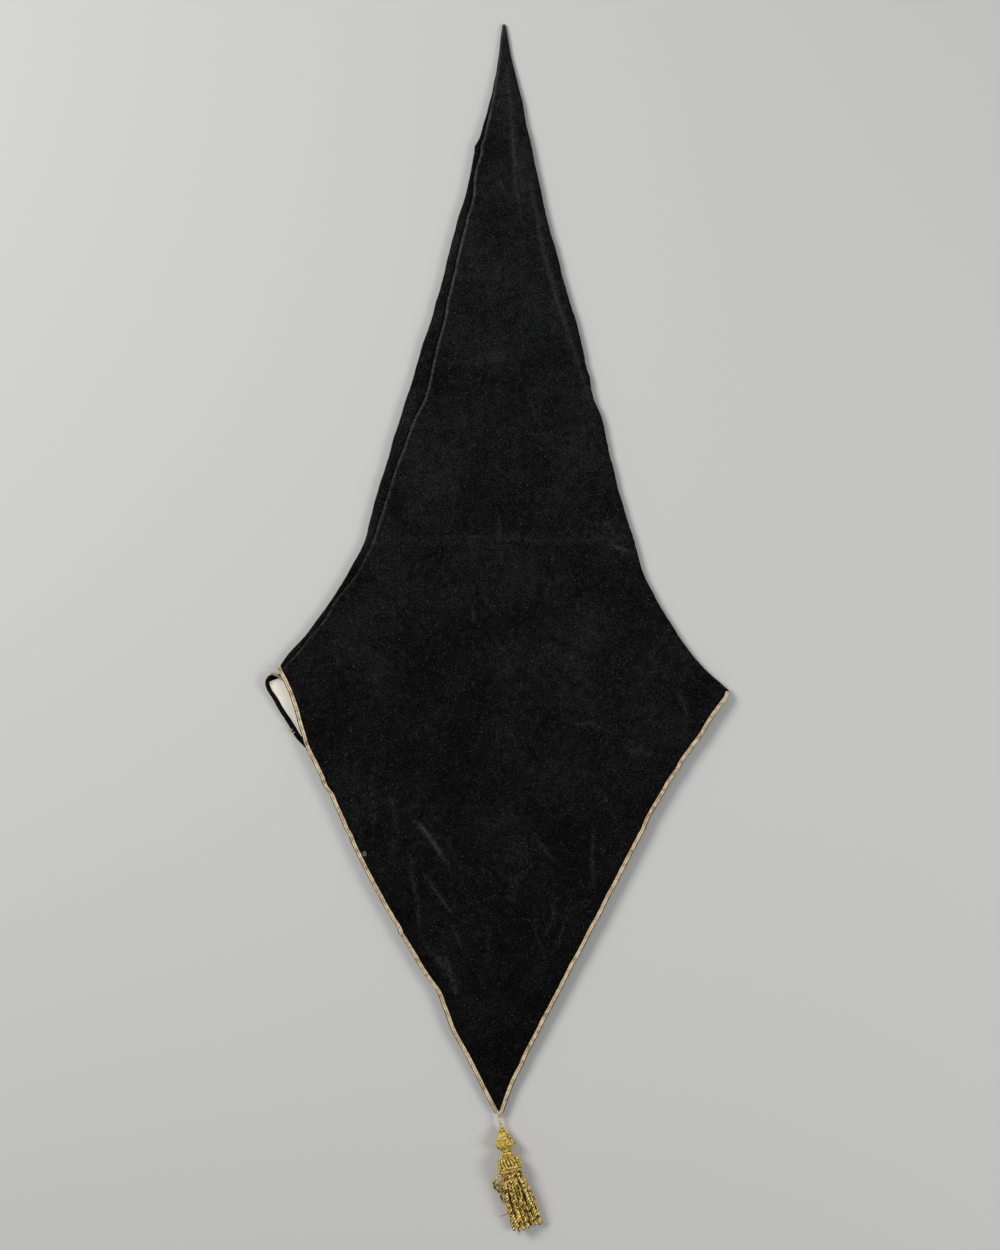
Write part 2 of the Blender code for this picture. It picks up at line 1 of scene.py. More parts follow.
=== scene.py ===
import math
from collections import namedtuple

import bmesh
import bpy
import numpy as np
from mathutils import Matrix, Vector


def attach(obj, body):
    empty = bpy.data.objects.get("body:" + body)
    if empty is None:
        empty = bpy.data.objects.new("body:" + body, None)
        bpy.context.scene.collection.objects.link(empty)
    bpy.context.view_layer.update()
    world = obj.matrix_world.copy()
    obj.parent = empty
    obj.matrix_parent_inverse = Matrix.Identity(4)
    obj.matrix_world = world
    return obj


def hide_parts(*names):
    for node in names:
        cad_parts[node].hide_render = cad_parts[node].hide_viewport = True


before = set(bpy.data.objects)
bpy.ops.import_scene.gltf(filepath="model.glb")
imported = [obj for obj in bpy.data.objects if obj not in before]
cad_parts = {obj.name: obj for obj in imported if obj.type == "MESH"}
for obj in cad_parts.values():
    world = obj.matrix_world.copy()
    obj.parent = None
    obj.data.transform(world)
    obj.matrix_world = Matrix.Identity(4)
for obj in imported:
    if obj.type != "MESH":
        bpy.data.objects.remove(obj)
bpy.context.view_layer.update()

# The camera hangs four metres above the hood and looks straight down at it. The
# picture is 1.375 m tall where the cloth lies, with the tip of the cone at the top.
scene = bpy.context.scene
CAMERA_UP = 4.0
PICTURE_TALL = 1.375
PICTURE_MIDDLE = (0.0033, 0.0050)
camera_data = bpy.data.cameras.new("camera")
camera_data.lens = camera_data.sensor_width / 2 * CAMERA_UP / (PICTURE_TALL / 2)
camera = bpy.data.objects.new("camera", camera_data)
camera.location = (*PICTURE_MIDDLE, CAMERA_UP)
scene.collection.objects.link(camera)
scene.camera = camera

# The hood lies on a plain pale table top under two large soft lights, one high on the
# left and a weaker one low on the right, so that its relief shows.
MM = 0.001
FLOOR_HALF = 6.0
FLOOR_DOWN = 0.4 * MM
FLOOR_GREY = (0.62, 0.61, 0.59, 1.0)
SKY_BLUE = (0.9, 0.95, 1.0, 1.0)
SKY_STRENGTH = 0.28
floor_mesh = bpy.data.meshes.new("table_top")
floor_corners = [(-1, -1), (1, -1), (1, 1), (-1, 1)]
floor_mesh.from_pydata(
    [(x * FLOOR_HALF, y * FLOOR_HALF, -FLOOR_DOWN) for x, y in floor_corners], [], [(0, 1, 2, 3)]
)
floor_paint = bpy.data.materials.new("pale_table_top")
floor_paint.use_nodes = True
floor_shader = floor_paint.node_tree.nodes["Principled BSDF"]
floor_shader.inputs["Base Color"].default_value = FLOOR_GREY
floor_shader.inputs["Roughness"].default_value = 0.9
floor_mesh.materials.append(floor_paint)
floor = bpy.data.objects.new("table_top", floor_mesh)
scene.collection.objects.link(floor)

for light_name, place, size, power in (
    ("soft_light_left", (-1.9, 1.1, 2.2), 1.4, 62.0),
    ("soft_light_right", (2.0, -0.5, 1.9), 1.2, 26.0),
):
    light_data = bpy.data.lights.new(light_name, "AREA")
    light_data.shape = "DISK"
    light_data.size = size
    light_data.energy = power
    light = bpy.data.objects.new(light_name, light_data)
    light.location = place
    light.rotation_euler = (-Vector(place)).to_track_quat("-Z", "Y").to_euler()
    scene.collection.objects.link(light)
world = bpy.data.worlds.new("studio")
world.use_nodes = True
sky = world.node_tree.nodes["Background"]
sky.inputs["Color"].default_value = SKY_BLUE
sky.inputs["Strength"].default_value = SKY_STRENGTH
scene.world = world
scene.view_settings.view_transform = "Standard"

# The hood is two panels of black cotton velvet, sewn together up both sides. The right
# seam lies under the fold, and the left one shows as a raised welt inside the outline.
# Below the two corners the panels part, and each one runs on to the point of the mouth.
VELVET_WALL = 1.5 * MM
SEAM_GAP = 0.3 * MM
FOLD_RADIUS = 4.8 * MM
FOLD_SHARE = 0.48
CROWN_RAMP = 70 * MM
ROW_STEP = 3.8 * MM
ARC_POINTS = 40
TOP_POINTS = 400
FLOOR_POINTS = 200

# The closed hood from its tip down to the corners, in millimetres: the two ends of each
# row, how far in from the left fold the seam lies, and how high the hood is puffed.
Section = namedtuple("Section", "left_x left_y right_x right_y seam_in height")
SECTIONS = [Section(*row) for row in (
    (6.6, 665.2, 8.8, 665.2, 0, 2.6),
    (5.9, 664.2, 9.5, 664.2, 0, 3.6),
    (5.3, 660, 10.3, 660, 0, 4.1),
    (1.1, 626, 16.5, 626, 0.2, 5),
    (-2.4, 604, 22, 604, 0.8, 6),
    (-7.7, 582, 27.5, 582, 1.9, 7),
    (-13.2, 560, 31.4, 560, 3.4, 8.3),
    (-19, 542, 35.4, 542, 4.6, 9.1),
    (-24, 527, 38.8, 527, 7, 9.6),
    (-29.6, 500, 44.4, 500, 5, 10.6),
    (-36, 472, 50.6, 472, 9, 11.5),
    (-43.4, 450, 55.2, 450, 10, 12.2),
    (-54.6, 406, 67.4, 406, 10.8, 13.3),
    (-66, 362, 79.4, 362, 12, 14.2),
    (-72.6, 340, 86.6, 340, 14.4, 14.6),
    (-86.9, 296, 96.8, 296, 17.4, 15.2),
    (-92.8, 274, 101.4, 274, 19, 15.5),
    (-100.4, 252, 107, 252, 20.4, 15.8),
    (-107, 230, 116.2, 230, 15.6, 16),
    (-114.4, 208, 120.3, 208, 15.2, 16.2),
    (-120.2, 186, 125.6, 186, 12.4, 16.2),
    (-134.2, 142, 136.8, 142, 12, 16.2),
    (-145.4, 98, 150.6, 98, 9, 16.2),
    (-165, 60, 161.7, 60, 9.8, 16),
    (-185.9, 27, 180.5, 24, 5, 15.6),
    (-197.6, 11, 192.6, 4, 8.2, 15.3),
    (-210.1, -6, 206, -16, 6, 15),
    (-229.5, -27, 228, -43, 8.5, 14.6),
    (-240.4, -43, 254.6, -66.6, 4.5, 14.2),
)]

# The flaps below the corners. Edge is the height of the front's hems, sweep how many
# degrees a right edge turns round the fold, and curl how far the back's left hem rolls up.
FrontFlap = namedtuple(
    "FrontFlap", "left_x left_y right_x right_y height edge sweep", defaults=(11.4, 0)
)
FRONT_FLAPS = [FrontFlap(*row) for row in (
    (-234, -56, 252.2, -75, 14.4, 10.4, 45),
    (-228.4, -69, 244.6, -86, 14.4, 11.4, 15),
    (-223, -84, 236.4, -97.5, 14.4),
    (-218.6, -101, 226.4, -114, 14.4),
    (-211.4, -124, 208.4, -139, 14.4),
    (-198.8, -152, 190.5, -167, 14.4),
    (-191.6, -166, 183.4, -179, 14.4),
    (-182.6, -184, 168.4, -205, 14.3),
    (-171.4, -208, 163.6, -216, 14.2),
    (-150, -254, 142.4, -257, 14),
    (-101.6, -341.6, 98.4, -341.6, 13.4),
    (-75.6, -385, 75.4, -385, 12.8, 11),
    (-62.4, -407, 64.2, -407, 12.4, 10.7),
    (-53.2, -429.6, 52.2, -429.6, 12, 10.4),
    (-43, -451.6, 41, -451.6, 11.2, 9.8),
    (-31.2, -473.6, 30, -473.6, 10.2, 9.2),
    (-10.6, -515, 11.8, -515, 8, 7.6),
    (-1.8, -531, 6.8, -531, 7, 7),
)]

BackFlap = namedtuple("BackFlap", "left_x left_y right_x right_y curl sweep", defaults=(0, 0))
BACK_FLAPS = [BackFlap(*row) for row in (
    (-238.8, -50, 251.6, -70.5, 100, 45),
    (-247.6, -49.4, 250.5, -74, 100, 45),
    (-254.2, -57, 244.5, -83, 82, 22),
    (-252.4, -66.5, 238, -91.5, 62, 8),
    (-246.4, -76, 231, -100, 45),
    (-238.8, -90, 220, -116, 33),
    (-230.2, -103, 208.5, -132, 24),
    (-222.6, -116.6, 198, -148, 16),
    (-209, -131, 185, -168, 8),
    (-188, -158, 162, -206),
    (-143, -254, 135.5, -257),
    (-94, -341.6, 91.5, -341.6),
    (-45, -429.6, 45.5, -429.6),
    (-23.5, -473.6, 22.5, -473.6),
    (-5.5, -510, 8, -510),
)]
CURL_STRIP = 3.0 * MM
CURL_STRIP_POINTS = 11
CURL_TIGHT = 110
CURL_OPENING = 0.03 * MM
HEM_LIFT = 2.2 * MM
HEM_LIFT_FLAT = 6.4 * MM
HEM_LIFT_END = 8.8 * MM
HEM_LIFT_CURL = 120
HEM_LIFT_CURL_RANGE = 60
HEM_POINT_WIDTH = 20 * MM
HEM_POINT_RAMP = 15 * MM


def smoothstep(value):
    value = np.clip(value, 0.0, 1.0)
    return value * value * (3.0 - 2.0 * value)


def smooth_point(table, run, i, t):
    """The point a share t past row i of a table, on a smooth line through all its rows."""
    slopes = np.gradient(table, run, axis=0)
    span = run[i + 1] - run[i]
    return (
        (2 * t**3 - 3 * t**2 + 1) * table[i]
        + (t**3 - 2 * t**2 + t) * span * slopes[i]
        + (3 * t**2 - 2 * t**3) * table[i + 1]
        + (t**3 - t**2) * span * slopes[i + 1]
    )


def in_between(rows, step):
    """The rows of a table with smooth rows added, about a step apart."""
    table = np.array(rows, float)
    run = np.concatenate([[0.0], np.cumsum(np.hypot(*np.diff(table[:, :2], axis=0).T))])
    out = []
    for i in range(len(rows) - 1):
        parts = max(1, round((run[i + 1] - run[i]) * MM / step))
        out += [smooth_point(table, run, i, t) for t in np.arange(parts) / parts]
    out.append(table[-1])
    return [type(rows[0])(*row) for row in out]


def line_of(row):
    """The left end, the direction and the width of a row, seen from above."""
    left = np.array([row.left_x, row.left_y]) * MM
    right = np.array([row.right_x, row.right_y]) * MM
    width = float(np.linalg.norm(right - left))
    return left, (right - left) / width, width


def arc(centre, radius, start, stop):
    """Points and outward normals on an arc, from angles in degrees with 0 pointing down."""
    turn = np.radians(np.linspace(start, stop, ARC_POINTS))
    normals = np.column_stack([-np.sin(turn), -np.cos(turn)])
    return np.array(centre) + radius * normals, normals


def crown(first, last, low, high, edge, height):
    """The puffed top between two places, low and high being where it starts to rise."""
    across = np.linspace(first, last, TOP_POINTS)
    ramp = min(CROWN_RAMP, (high - low) / 2)
    inside = np.minimum(across - low, high - across)
    z = edge + (height - edge) * smoothstep(inside / ramp)
    slope = np.gradient(z, across)
    normals = np.column_stack([-slope, np.ones_like(slope)])
    return np.column_stack([across, z]), normals / np.linalg.norm(normals, axis=1)[:, None]


def floor_line(first, last):
    across = np.linspace(first, last, FLOOR_POINTS)
    flat = np.column_stack([across, np.zeros_like(across)])
    return flat, np.tile([0.0, -1.0], (len(across), 1))


def joined(*pieces):
    return tuple(np.concatenate(group) for group in zip(*pieces))


def lengths_along(points):
    steps = np.linalg.norm(np.diff(points, axis=0), axis=1)
    return np.concatenate([[0.0], np.cumsum(steps)])


def closed_profiles(row):
    """The outer line of the front and of the back panel where the hood is closed."""
    width = line_of(row)[2]
    height = row.height * MM
    seam = row.seam_in * MM
    radius = min(FOLD_RADIUS, height / 2, FOLD_SHARE * width)
    rise = (radius, width - radius, 2 * radius, height)
    start = max(seam, radius)
    top = crown(start, width - radius, *rise)
    right = arc((width - radius, radius), radius, 180, 270)
    lower_right = arc((width - radius, radius), radius, 360, 270)
    bottom = floor_line(radius, width - radius)
    if seam < radius:
        seam_angle = 180 - math.degrees(math.asin(1 - seam / radius))
        front = joined(arc((radius, radius), radius, seam_angle, 180), top, right)
        back = joined(arc((radius, radius), radius, seam_angle, 0), bottom, lower_right)
    else:
        strip = crown(seam, radius, *rise)
        front = joined(top, right)
        back = joined(strip, arc((radius, radius), radius, 180, 0), bottom, lower_right)
    return front, back


def front_profile(row):
    if isinstance(row, Section):
        return closed_profiles(row)[0]
    width = line_of(row)[2]
    edge = row.edge * MM
    turned = FOLD_RADIUS * math.sin(math.radians(row.sweep))
    top = crown(0.0, width - turned, 0.0, width - turned, edge, row.height * MM)
    if row.sweep <= 0:
        return top
    bend = arc((width - turned, edge - FOLD_RADIUS), FOLD_RADIUS, 180, 180 + row.sweep)
    return joined(top, bend)


def back_profile(row):
    """The back panel's outer line. In the gaping corner its left hem curls up."""
    if isinstance(row, Section):
        return closed_profiles(row)[1]
    width = line_of(row)[2]
    curl = math.radians(row.curl)
    radius = FOLD_RADIUS + CURL_OPENING * (CURL_TIGHT - row.curl)
    reach = radius * math.sin(curl) + max(0.0, CURL_STRIP * math.cos(curl))
    start = max(reach, radius * math.sin(min(curl, math.pi / 2)))
    bend = arc((start, radius), radius, row.curl, 0)
    along = np.linspace(CURL_STRIP, 0.0, CURL_STRIP_POINTS + 1)[:-1, None]
    strip_way = np.array([-math.cos(curl), math.sin(curl)])
    strip = (bend[0][0] + along * strip_way, np.tile(bend[1][0], (CURL_STRIP_POINTS, 1)))
    turned = FOLD_RADIUS * math.sin(math.radians(row.sweep))
    pieces = [strip, bend, floor_line(start, width - turned)]
    if row.sweep > 0:
        pieces.append(arc((width - turned, FOLD_RADIUS), FOLD_RADIUS, 360, 360 - row.sweep))
    points, normals = joined(*pieces)
    run = lengths_along(points)
    slope = HEM_LIFT_END - HEM_LIFT_FLAT
    near_left = 1 - smoothstep((run - HEM_LIFT_FLAT) / slope)
    near_right = 1 - smoothstep((run[-1] - run - HEM_LIFT_FLAT) / slope)
    left_share = min(1.0, (HEM_LIFT_CURL - row.curl) / HEM_LIFT_CURL_RANGE)
    near_point = 1 - smoothstep((width - HEM_POINT_WIDTH) / HEM_POINT_RAMP)
    share = np.maximum(np.maximum(near_left * left_share, near_right), near_point)
    return points + np.column_stack([np.zeros_like(share), HEM_LIFT * share]), normals


def with_attributes(mesh, **values):
    """Stores a number or a vector for each point of a mesh, under each given name."""
    for name, value in values.items():
        value = np.array(value, np.float32)
        kind, field = ("FLOAT_VECTOR", "vector") if value.ndim == 2 else ("FLOAT", "value")
        mesh.attributes.new(name, kind, "POINT").data.foreach_set(field, value.ravel())
    return mesh


EDGE_SHARE = 0.4


def spaced(length, left_stops, right_stops, middle):
    """Places along a profile: close together near its two edges, and even between."""
    ends = []
    for stops in (left_stops, right_stops):
        stops = np.array(stops) * MM
        ends.append(stops * min(1.0, EDGE_SHARE * length / stops[-1]))
    inner = np.linspace(ends[0][-1], length - ends[1][-1], middle + 2)[1:-1]
    return np.concatenate([ends[0], inner, length - ends[1][::-1]])


def cloth_grid(rows, profile_of, left_stops, right_stops, middle, insets=None):
    """Points, outward normals, places along each row and the rows' lengths, in arrays."""
    points, normals, runs, lengths = [], [], [], []
    for row in rows:
        flat, out = profile_of(row)
        run = lengths_along(flat)
        least = SEAM_GAP / 2 if isinstance(row, Section) else 0.0
        first, last = [max(least, gap) for gap in (insets(row) if insets else (0.0, 0.0))]
        at = first + spaced(run[-1] - first - last, left_stops, right_stops, middle)
        across, z, out_across, out_z = [np.interp(at, run, part) for part in (*flat.T, *out.T)]
        left, way, _ = line_of(row)
        plan = left + across[:, None] * way
        points.append(np.column_stack([plan, z]))
        normals.append(np.column_stack([out_across[:, None] * way, out_z]))
        runs.append(at)
        lengths.append([run[-1]])
    normals = np.array(normals)
    normals /= np.linalg.norm(normals, axis=2)[:, :, None]
    return np.array(points), normals, np.array(runs), np.array(lengths)


RIM_BULGE = 0.3


def cloth_shell(name, points, normals, runs, depth, walls, nap=None):
    """A closed sheet of cloth with soft rims. It gets UVs in metres along the cloth."""
    rows, across = points.shape[:2]
    walls = np.broadcast_to(np.array(walls, float), (rows,))[:, None, None]
    outer = points - normals * depth
    inner = outer - normals * walls
    index = np.arange(rows * across).reshape(rows, across)
    rim = np.concatenate([index[:, 0], index[-1, 1:], index[-2::-1, -1], index[0, -2:0:-1]])
    inward = np.concatenate([index[:, 1], index[-2, 1:], index[-2::-1, -2], index[1, -2:0:-1]])
    flat_outer, flat_inner = outer.reshape(-1, 3), inner.reshape(-1, 3)
    out_way = flat_outer[rim] - flat_outer[inward]
    out_way /= np.maximum(np.linalg.norm(out_way, axis=1), 1e-9)[:, None]
    thick = np.linalg.norm(flat_outer[rim] - flat_inner[rim], axis=1)[:, None]
    bulge = (flat_outer[rim] + flat_inner[rim]) / 2 + out_way * thick * RIM_BULGE
    a = index[:-1, :-1].ravel()
    quads = np.column_stack([a, a + across, a + across + 1, a + 1])
    ends = [flat_outer[quads[:, k]] for k in range(3)]
    facing = np.cross(ends[1] - ends[0], ends[2] - ends[1])
    if (facing * normals.reshape(-1, 3)[a]).sum() < 0:
        quads = quads[:, ::-1]
    under = rows * across
    first_bulge = 2 * under
    around = np.arange(len(rim))
    after = np.roll(around, -1)
    towards_outer = np.column_stack([rim, first_bulge + around, first_bulge + after, rim[after]])
    towards_inner = np.column_stack(
        [first_bulge + around, under + rim, under + rim[after], first_bulge + after]
    )
    rims = np.concatenate([towards_outer, towards_inner])
    # The rim runs the way of the outer quads' edges, so its own faces turn against them.
    if tuple(quads[0][:2]) == (rim[0], rim[1]):
        rims = rims[:, ::-1]
    faces = np.concatenate([quads, quads[:, ::-1] + under, rims])
    mesh = bpy.data.meshes.new(name)
    mesh.from_pydata(np.concatenate([flat_outer, flat_inner, bulge]).tolist(), [], faces.tolist())
    along = np.broadcast_to(lengths_along(points[:, across // 2])[:, None], (rows, across))
    flat_uv = np.column_stack([runs.ravel(), along.ravel()])
    uv = np.concatenate([flat_uv, flat_uv, flat_uv[rim]])
    corner = np.empty(len(mesh.loops), np.int32)
    mesh.loops.foreach_get("vertex_index", corner)
    mesh.uv_layers.new(name="cloth").data.foreach_set("uv", uv[corner].astype(np.float32).ravel())
    turned_out = bmesh.new()
    turned_out.from_mesh(mesh)
    bmesh.ops.recalc_face_normals(turned_out, faces=turned_out.faces)
    turned_out.to_mesh(mesh)
    turned_out.free()
    # The painted light and shade on the pile is kept for the outer points and the rims; the inner
    # points get none.
    if nap is not None:
        flat_painted_light = nap.ravel()
        with_attributes(mesh, nap=np.concatenate([flat_painted_light, flat_painted_light * 0, flat_painted_light[rim]]))
    mesh.shade_smooth()
    return mesh


def shown_piece(name, mesh, material, slot, *stands_for):
    """An object for a finished mesh, which rides on the part and stands for its nodes."""
    mesh.materials.clear()
    mesh.materials.append(material)
    piece = bpy.data.objects.new(name, mesh)
    scene.collection.objects.link(piece)
    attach(piece, "root")
    if stands_for:
        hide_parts(*stands_for)
    return piece


# Folds are broad, creases narrow. Each runs along its points, and the number before the
# points is painted light: how much lighter the pile is painted on it, a painted highlight.
Crease = namedtuple("Crease", "half_width rise nap points")
CREASES = [Crease(*row) for row in (
    (7, 0.8, 0.04, [(9, 626), (27, 446)]),
    (16, 0.9, 0.06, [(113, 112), (146, 86)]),
    (45, -1.2, 0, [(-60, 190), (-40, 110)]),
    (24, 1.3, 0.04, [(-95, -195), (-48, -300)]),
    (40, -1.1, 0, [(60, -150), (90, -240)]),
    (40, 1, 0, [(-150, 0), (-60, -40)]),
    (35, 1.1, 0, [(120, 0), (190, -60)]),
    (6.5, 0.5, 0.24, [(-68, -350), (-54, -376), (-42, -399)]),
    (6, 0.5, 0.18, [(23, -268), (18, -290), (14, -300)]),
    (4, 0.4, 0.20, [(-116, -180), (-112, -210), (-114, -250)]),
    (12, 0.5, 0.06, [(-160, -70), (-140, -100)]),
    (2.2, 0.7, 0.22, [(8.8, 626.5), (16.5, 560.5), (18.7, 518.7), (20.9, 486.8), (27.5, 446)]),
    (1.8, 0.4, 0.12, [(15, 540), (26, 500), (31, 462)]),
    (
        2.6, 1.1, 0.34,
        [(36.3, 492), (44, 455), (48.4, 423), (59.4, 387), (68.2, 355),
         (82.5, 314), (95.7, 272), (108, 236)],
    ),
    (1.7, 0.8, 0.55, [(125, 93), (136, 89.5), (148, 84.5)]),
    (1.6, 0.5, 0.32, [(118, 119), (124, 112), (129, 105)]),
    (1.4, 0.3, 0.32, [(2, 125), (3, 113), (1, 102)]),
    (1.6, 0.3, 0.30, [(-25, 27), (-27, 18), (-26, 8)]),
    (1.4, 0.2, 0.24, [(-26, 84), (-8, 85.5), (10, 84)]),
    (1.4, 0.3, 0.26, [(34, 251), (42, 240), (41, 228)]),
    (1.4, 0.3, 0.28, [(143, 58), (144, 47)]),
    (2, 0.5, 0.20, [(92, 122), (106, 116), (124, 118)]),
    (2.2, 0.3, 0.16, [(-112, 98), (-20, 102), (60, 97), (135, 99)]),
    (1.8, 0.3, 0.10, [(-104, 92), (-40, 94), (20, 90)]),
    (2.4, 1, 0.44, [(-91, -208), (-74, -226), (-62, -246), (-52, -259)]),
    (1.8, 0.5, 0.26, [(-84, -214), (-72, -232), (-56, -248)]),
    (2, 0.9, 0.34, [(-94, -246), (-93, -274), (-86, -304), (-86, -330)]),
    (1.7, 0.9, 0.42, [(-80, -268), (-68, -285), (-49, -312)]),
    (2, 0.5, 0.18, [(-134, -150), (-137, -176), (-134, -200), (-138, -240)]),
    (2, 0.5, 0.14, [(-112, -118), (-128, -134), (-134, -158)]),
    (1.8, 0.6, 0.34, [(44, -224), (50, -240), (64, -254)]),
    (1.8, 0.6, 0.36, [(108, -212), (104, -246), (107, -284)]),
    (1.6, 0.4, 0.20, [(115, -234), (117, -252)]),
    (2, 0.7, 0.30, [(84, -104), (104, -103), (120, -111)]),
    (2, 0.8, 0.30, [(140, -131), (154, -132), (172, -140)]),
    (3, 0.7, 0.26, [(198, -70), (208, -88), (206, -104)]),
    (2.2, 0.6, 0.28, [(112, -176), (122, -190), (130, -208)]),
    (1.8, 0.6, 0.32, [(62, -300), (62, -318), (50, -338)]),
    (1.8, 0.5, 0.30, [(78, -312), (70, -334), (68, -348)]),
    (1.8, 0.5, 0.24, [(-52, -322), (-44, -334), (-38, -352)]),
    (2.2, 0.5, 0.16, [(44, -300), (40, -330), (52, -352)]),
    (2.4, 0.5, 0.18, [(-62, -340), (-52, -372), (-44, -400)]),
    (2, 0.5, 0.16, [(-84, -330), (-76, -352), (-58, -366)]),
    (2.6, 0.5, 0.14, [(-128, -40), (-132, -66), (-120, -92)]),
    (2.2, 0.4, 0.12, [(-16, 62), (-12, 30), (-22, 4)]),
    (2.4, 0.4, 0.12, [(-96, 300), (-40, 292), (10, 296)]),
)]
SWELL_SEED = 11
SWELL_WAVES = 26
SWELL_LENGTHS = (26 * MM, 90 * MM)
SWELL_HEIGHT = 0.16 * MM
SEAM_WELT = 1.3 * MM
SEAM_WELT_IN = 1.3 * MM
SEAM_WELT_WIDTH = 1.5 * MM
# The seam welt, the hem edges and the tip of the hood have their pile painted lighter: painted
# highlights. On the back panel the seam is painted darker: painted shade.
SEAM_PAINTED_LIGHT = 1.0
HEM_EDGE_PAINTED_LIGHT = 0.45
HEM_EDGE_WIDTH = 1.5 * MM
TIP_PAINTED_LIGHT = 0.35
TIP_FROM = 640 * MM
TIP_RAMP = 20 * MM
CREASE_END = 0.3


def swell(points):
    """The uneven lie of the cloth: many shallow waves of three to nine centimetres."""
    draw = np.random.default_rng(SWELL_SEED)
    height = np.zeros(points.shape[:2])
    for _ in range(SWELL_WAVES):
        angle, phase = draw.uniform(0, 2 * math.pi, 2)
        wave = 2 * math.pi / draw.uniform(*SWELL_LENGTHS)
        line = points[:, :, 0] * math.cos(angle) + points[:, :, 1] * math.sin(angle)
        height += np.sin(wave * line + phase)
    return height * SWELL_HEIGHT


def creased(points):
    """How far the folds and creases lift each point, and how much lighter they paint its pile: painted
    highlight.
    """
    lift = np.zeros(points.shape[:2])
    light = np.zeros(points.shape[:2])
    for crease in CREASES:
        route = np.array(crease.points) * MM
        lengths = lengths_along(route)
        best = np.full(points.shape[:2], np.inf)
        share = np.zeros(points.shape[:2])
        for first, last, start in zip(route, route[1:], lengths):
            way = last - first
            t = np.clip(((points[:, :, :2] - first) @ way) / (way @ way), 0, 1)
            off = np.linalg.norm(points[:, :, :2] - first - t[:, :, None] * way, axis=2)
            place = (start + t * np.linalg.norm(way)) / lengths[-1]
            share = np.where(off < best, place, share)
            best = np.minimum(off, best)
        taper = CREASE_END + (1 - CREASE_END) * np.sqrt(np.clip(4 * share * (1 - share), 0, 1))
        ridge = np.exp(-((best / (crease.half_width * MM)) ** 2)) * taper
        lift += crease.rise * MM * ridge
        light += crease.nap * ridge
    return lift, light


EDGE_SEED = 7
EDGE_WAVES = 9
EDGE_WANDER = 0.10
WANDER_LENGTHS = (9, 60)
WANDER_WIDTH = 40
Kink = namedtuple("Kink", "end along half_width out")
KINKS = [Kink(*row) for row in (
    ("left_x", 531, 4, -1.6),
    ("right_x", 423, 9, 0.9),
    ("right_x", 276, 7, 1.3),
    ("left_x", -172, 6, -1.3),
    ("left_x", -181, 5, 1),
    ("left_x", -219, 4, -0.8),
    ("left_x", -226, 4, 0.9),
    ("left_x", -326, 4, 1.2),
    ("left_x", -333, 4, -1),
    ("right_x", -152, 5, 1.2),
    ("right_x", -144, 4, -0.8),
    ("left_x", -396, 12, 1.6),
    ("left_x", -440, 12, -1.2),
)]


def wandering(rows):
    """The rows with ends a little to the side, as the edges of sewn cloth wander."""
    draw = np.random.default_rng(EDGE_SEED)
    out = []
    shape = {"left_x": [], "right_x": []}
    for waves in shape.values():
        for _ in range(EDGE_WAVES):
            waves.append((2 * math.pi / draw.uniform(*WANDER_LENGTHS), draw.uniform(0, 2 * math.pi)))
    for row in rows:
        ends = {"left_x": row.left_y, "right_x": row.right_y}
        width = line_of(row)[2] / MM
        for end, along in ends.items():
            shift = sum(math.sin(wave * along + phase) for wave, phase in shape[end]) * EDGE_WANDER
            for kink in KINKS:
                if kink.end == end:
                    shift += kink.out * math.exp(-(((along - kink.along) / kink.half_width) ** 2))
            row = row._replace(**{end: getattr(row, end) + shift * min(1.0, width / WANDER_WIDTH)})
        out.append(row)
    return out


closed_rows = wandering(in_between(SECTIONS, ROW_STEP))
front_rows = closed_rows + wandering(in_between(FRONT_FLAPS, ROW_STEP))
back_rows = closed_rows + wandering(in_between(BACK_FLAPS, ROW_STEP))
tip_wall = SECTIONS[0].height * MM / 2 - SEAM_GAP / 2
EDGE_STOPS = [0, 0.7, 1.4, 2.2, 3.1, 4.2, 5.6, 7.2, 9, 11, 13.5, 16.5, 20]
FOLD_STOPS = [0, 0.7, 1.4, 2.3, 3.5, 5, 7, 9.2, 11.6, 14, 16.4, 18.8, 21.2, 23.6, 26]
FOLD_STOPS += [28.4, 31, 34, 38, 43, 50]
FRONT_ACROSS = 86
BACK_ACROSS = 60
CALM_WIDTH = 8 * MM
CALM_RAMP = 60 * MM
STILL_EDGE = 2 * MM
STILL_RAMP = 12 * MM
WELT_WIDTH_RAMP = 40 * MM
UPPER_FROM = 50 * MM
UPPER_RAMP = 250 * MM


def laid(points, normals, runs, lengths, rows, welt=0.0):
    """The points with creases, swell and welt where a panel faces up, and the light and shade painted
    on their pile.
    """
    widths = np.array([line_of(row)[2] for row in rows])[:, None]
    closed = np.array([isinstance(row, Section) for row in rows])[:, None]
    calm = smoothstep((widths - CALM_WIDTH) / CALM_RAMP)
    facing = np.clip(normals[:, :, 2], 0, 1) ** 2
    away = np.minimum(runs, lengths - runs)
    inside = smoothstep((away - STILL_EDGE) / STILL_RAMP)
    lift, light = creased(points)
    lift = (lift + swell(points)) * calm * inside
    # With a positive welt the seam rises and its pile is painted lighter, a painted highlight; with a
    # negative one it sinks and is painted darker, a painted shade.
    seam = np.exp(-(((runs - SEAM_WELT_IN) / SEAM_WELT_WIDTH) ** 2)) * closed * welt
    upper = 0.5 + 0.5 * smoothstep((points[:, :, 1] - UPPER_FROM) / UPPER_RAMP)
    lift += seam * SEAM_WELT * smoothstep(widths / WELT_WIDTH_RAMP) * upper
    hem = np.exp(-((away / HEM_EDGE_WIDTH) ** 2)) * ~closed
    light = light * inside + seam * SEAM_PAINTED_LIGHT * upper + hem * HEM_EDGE_PAINTED_LIGHT
    light += TIP_PAINTED_LIGHT * smoothstep((points[:, :, 1] - TIP_FROM) / TIP_RAMP)
    points = points.copy()
    points[:, :, 2] += lift * facing
    return points, light * facing


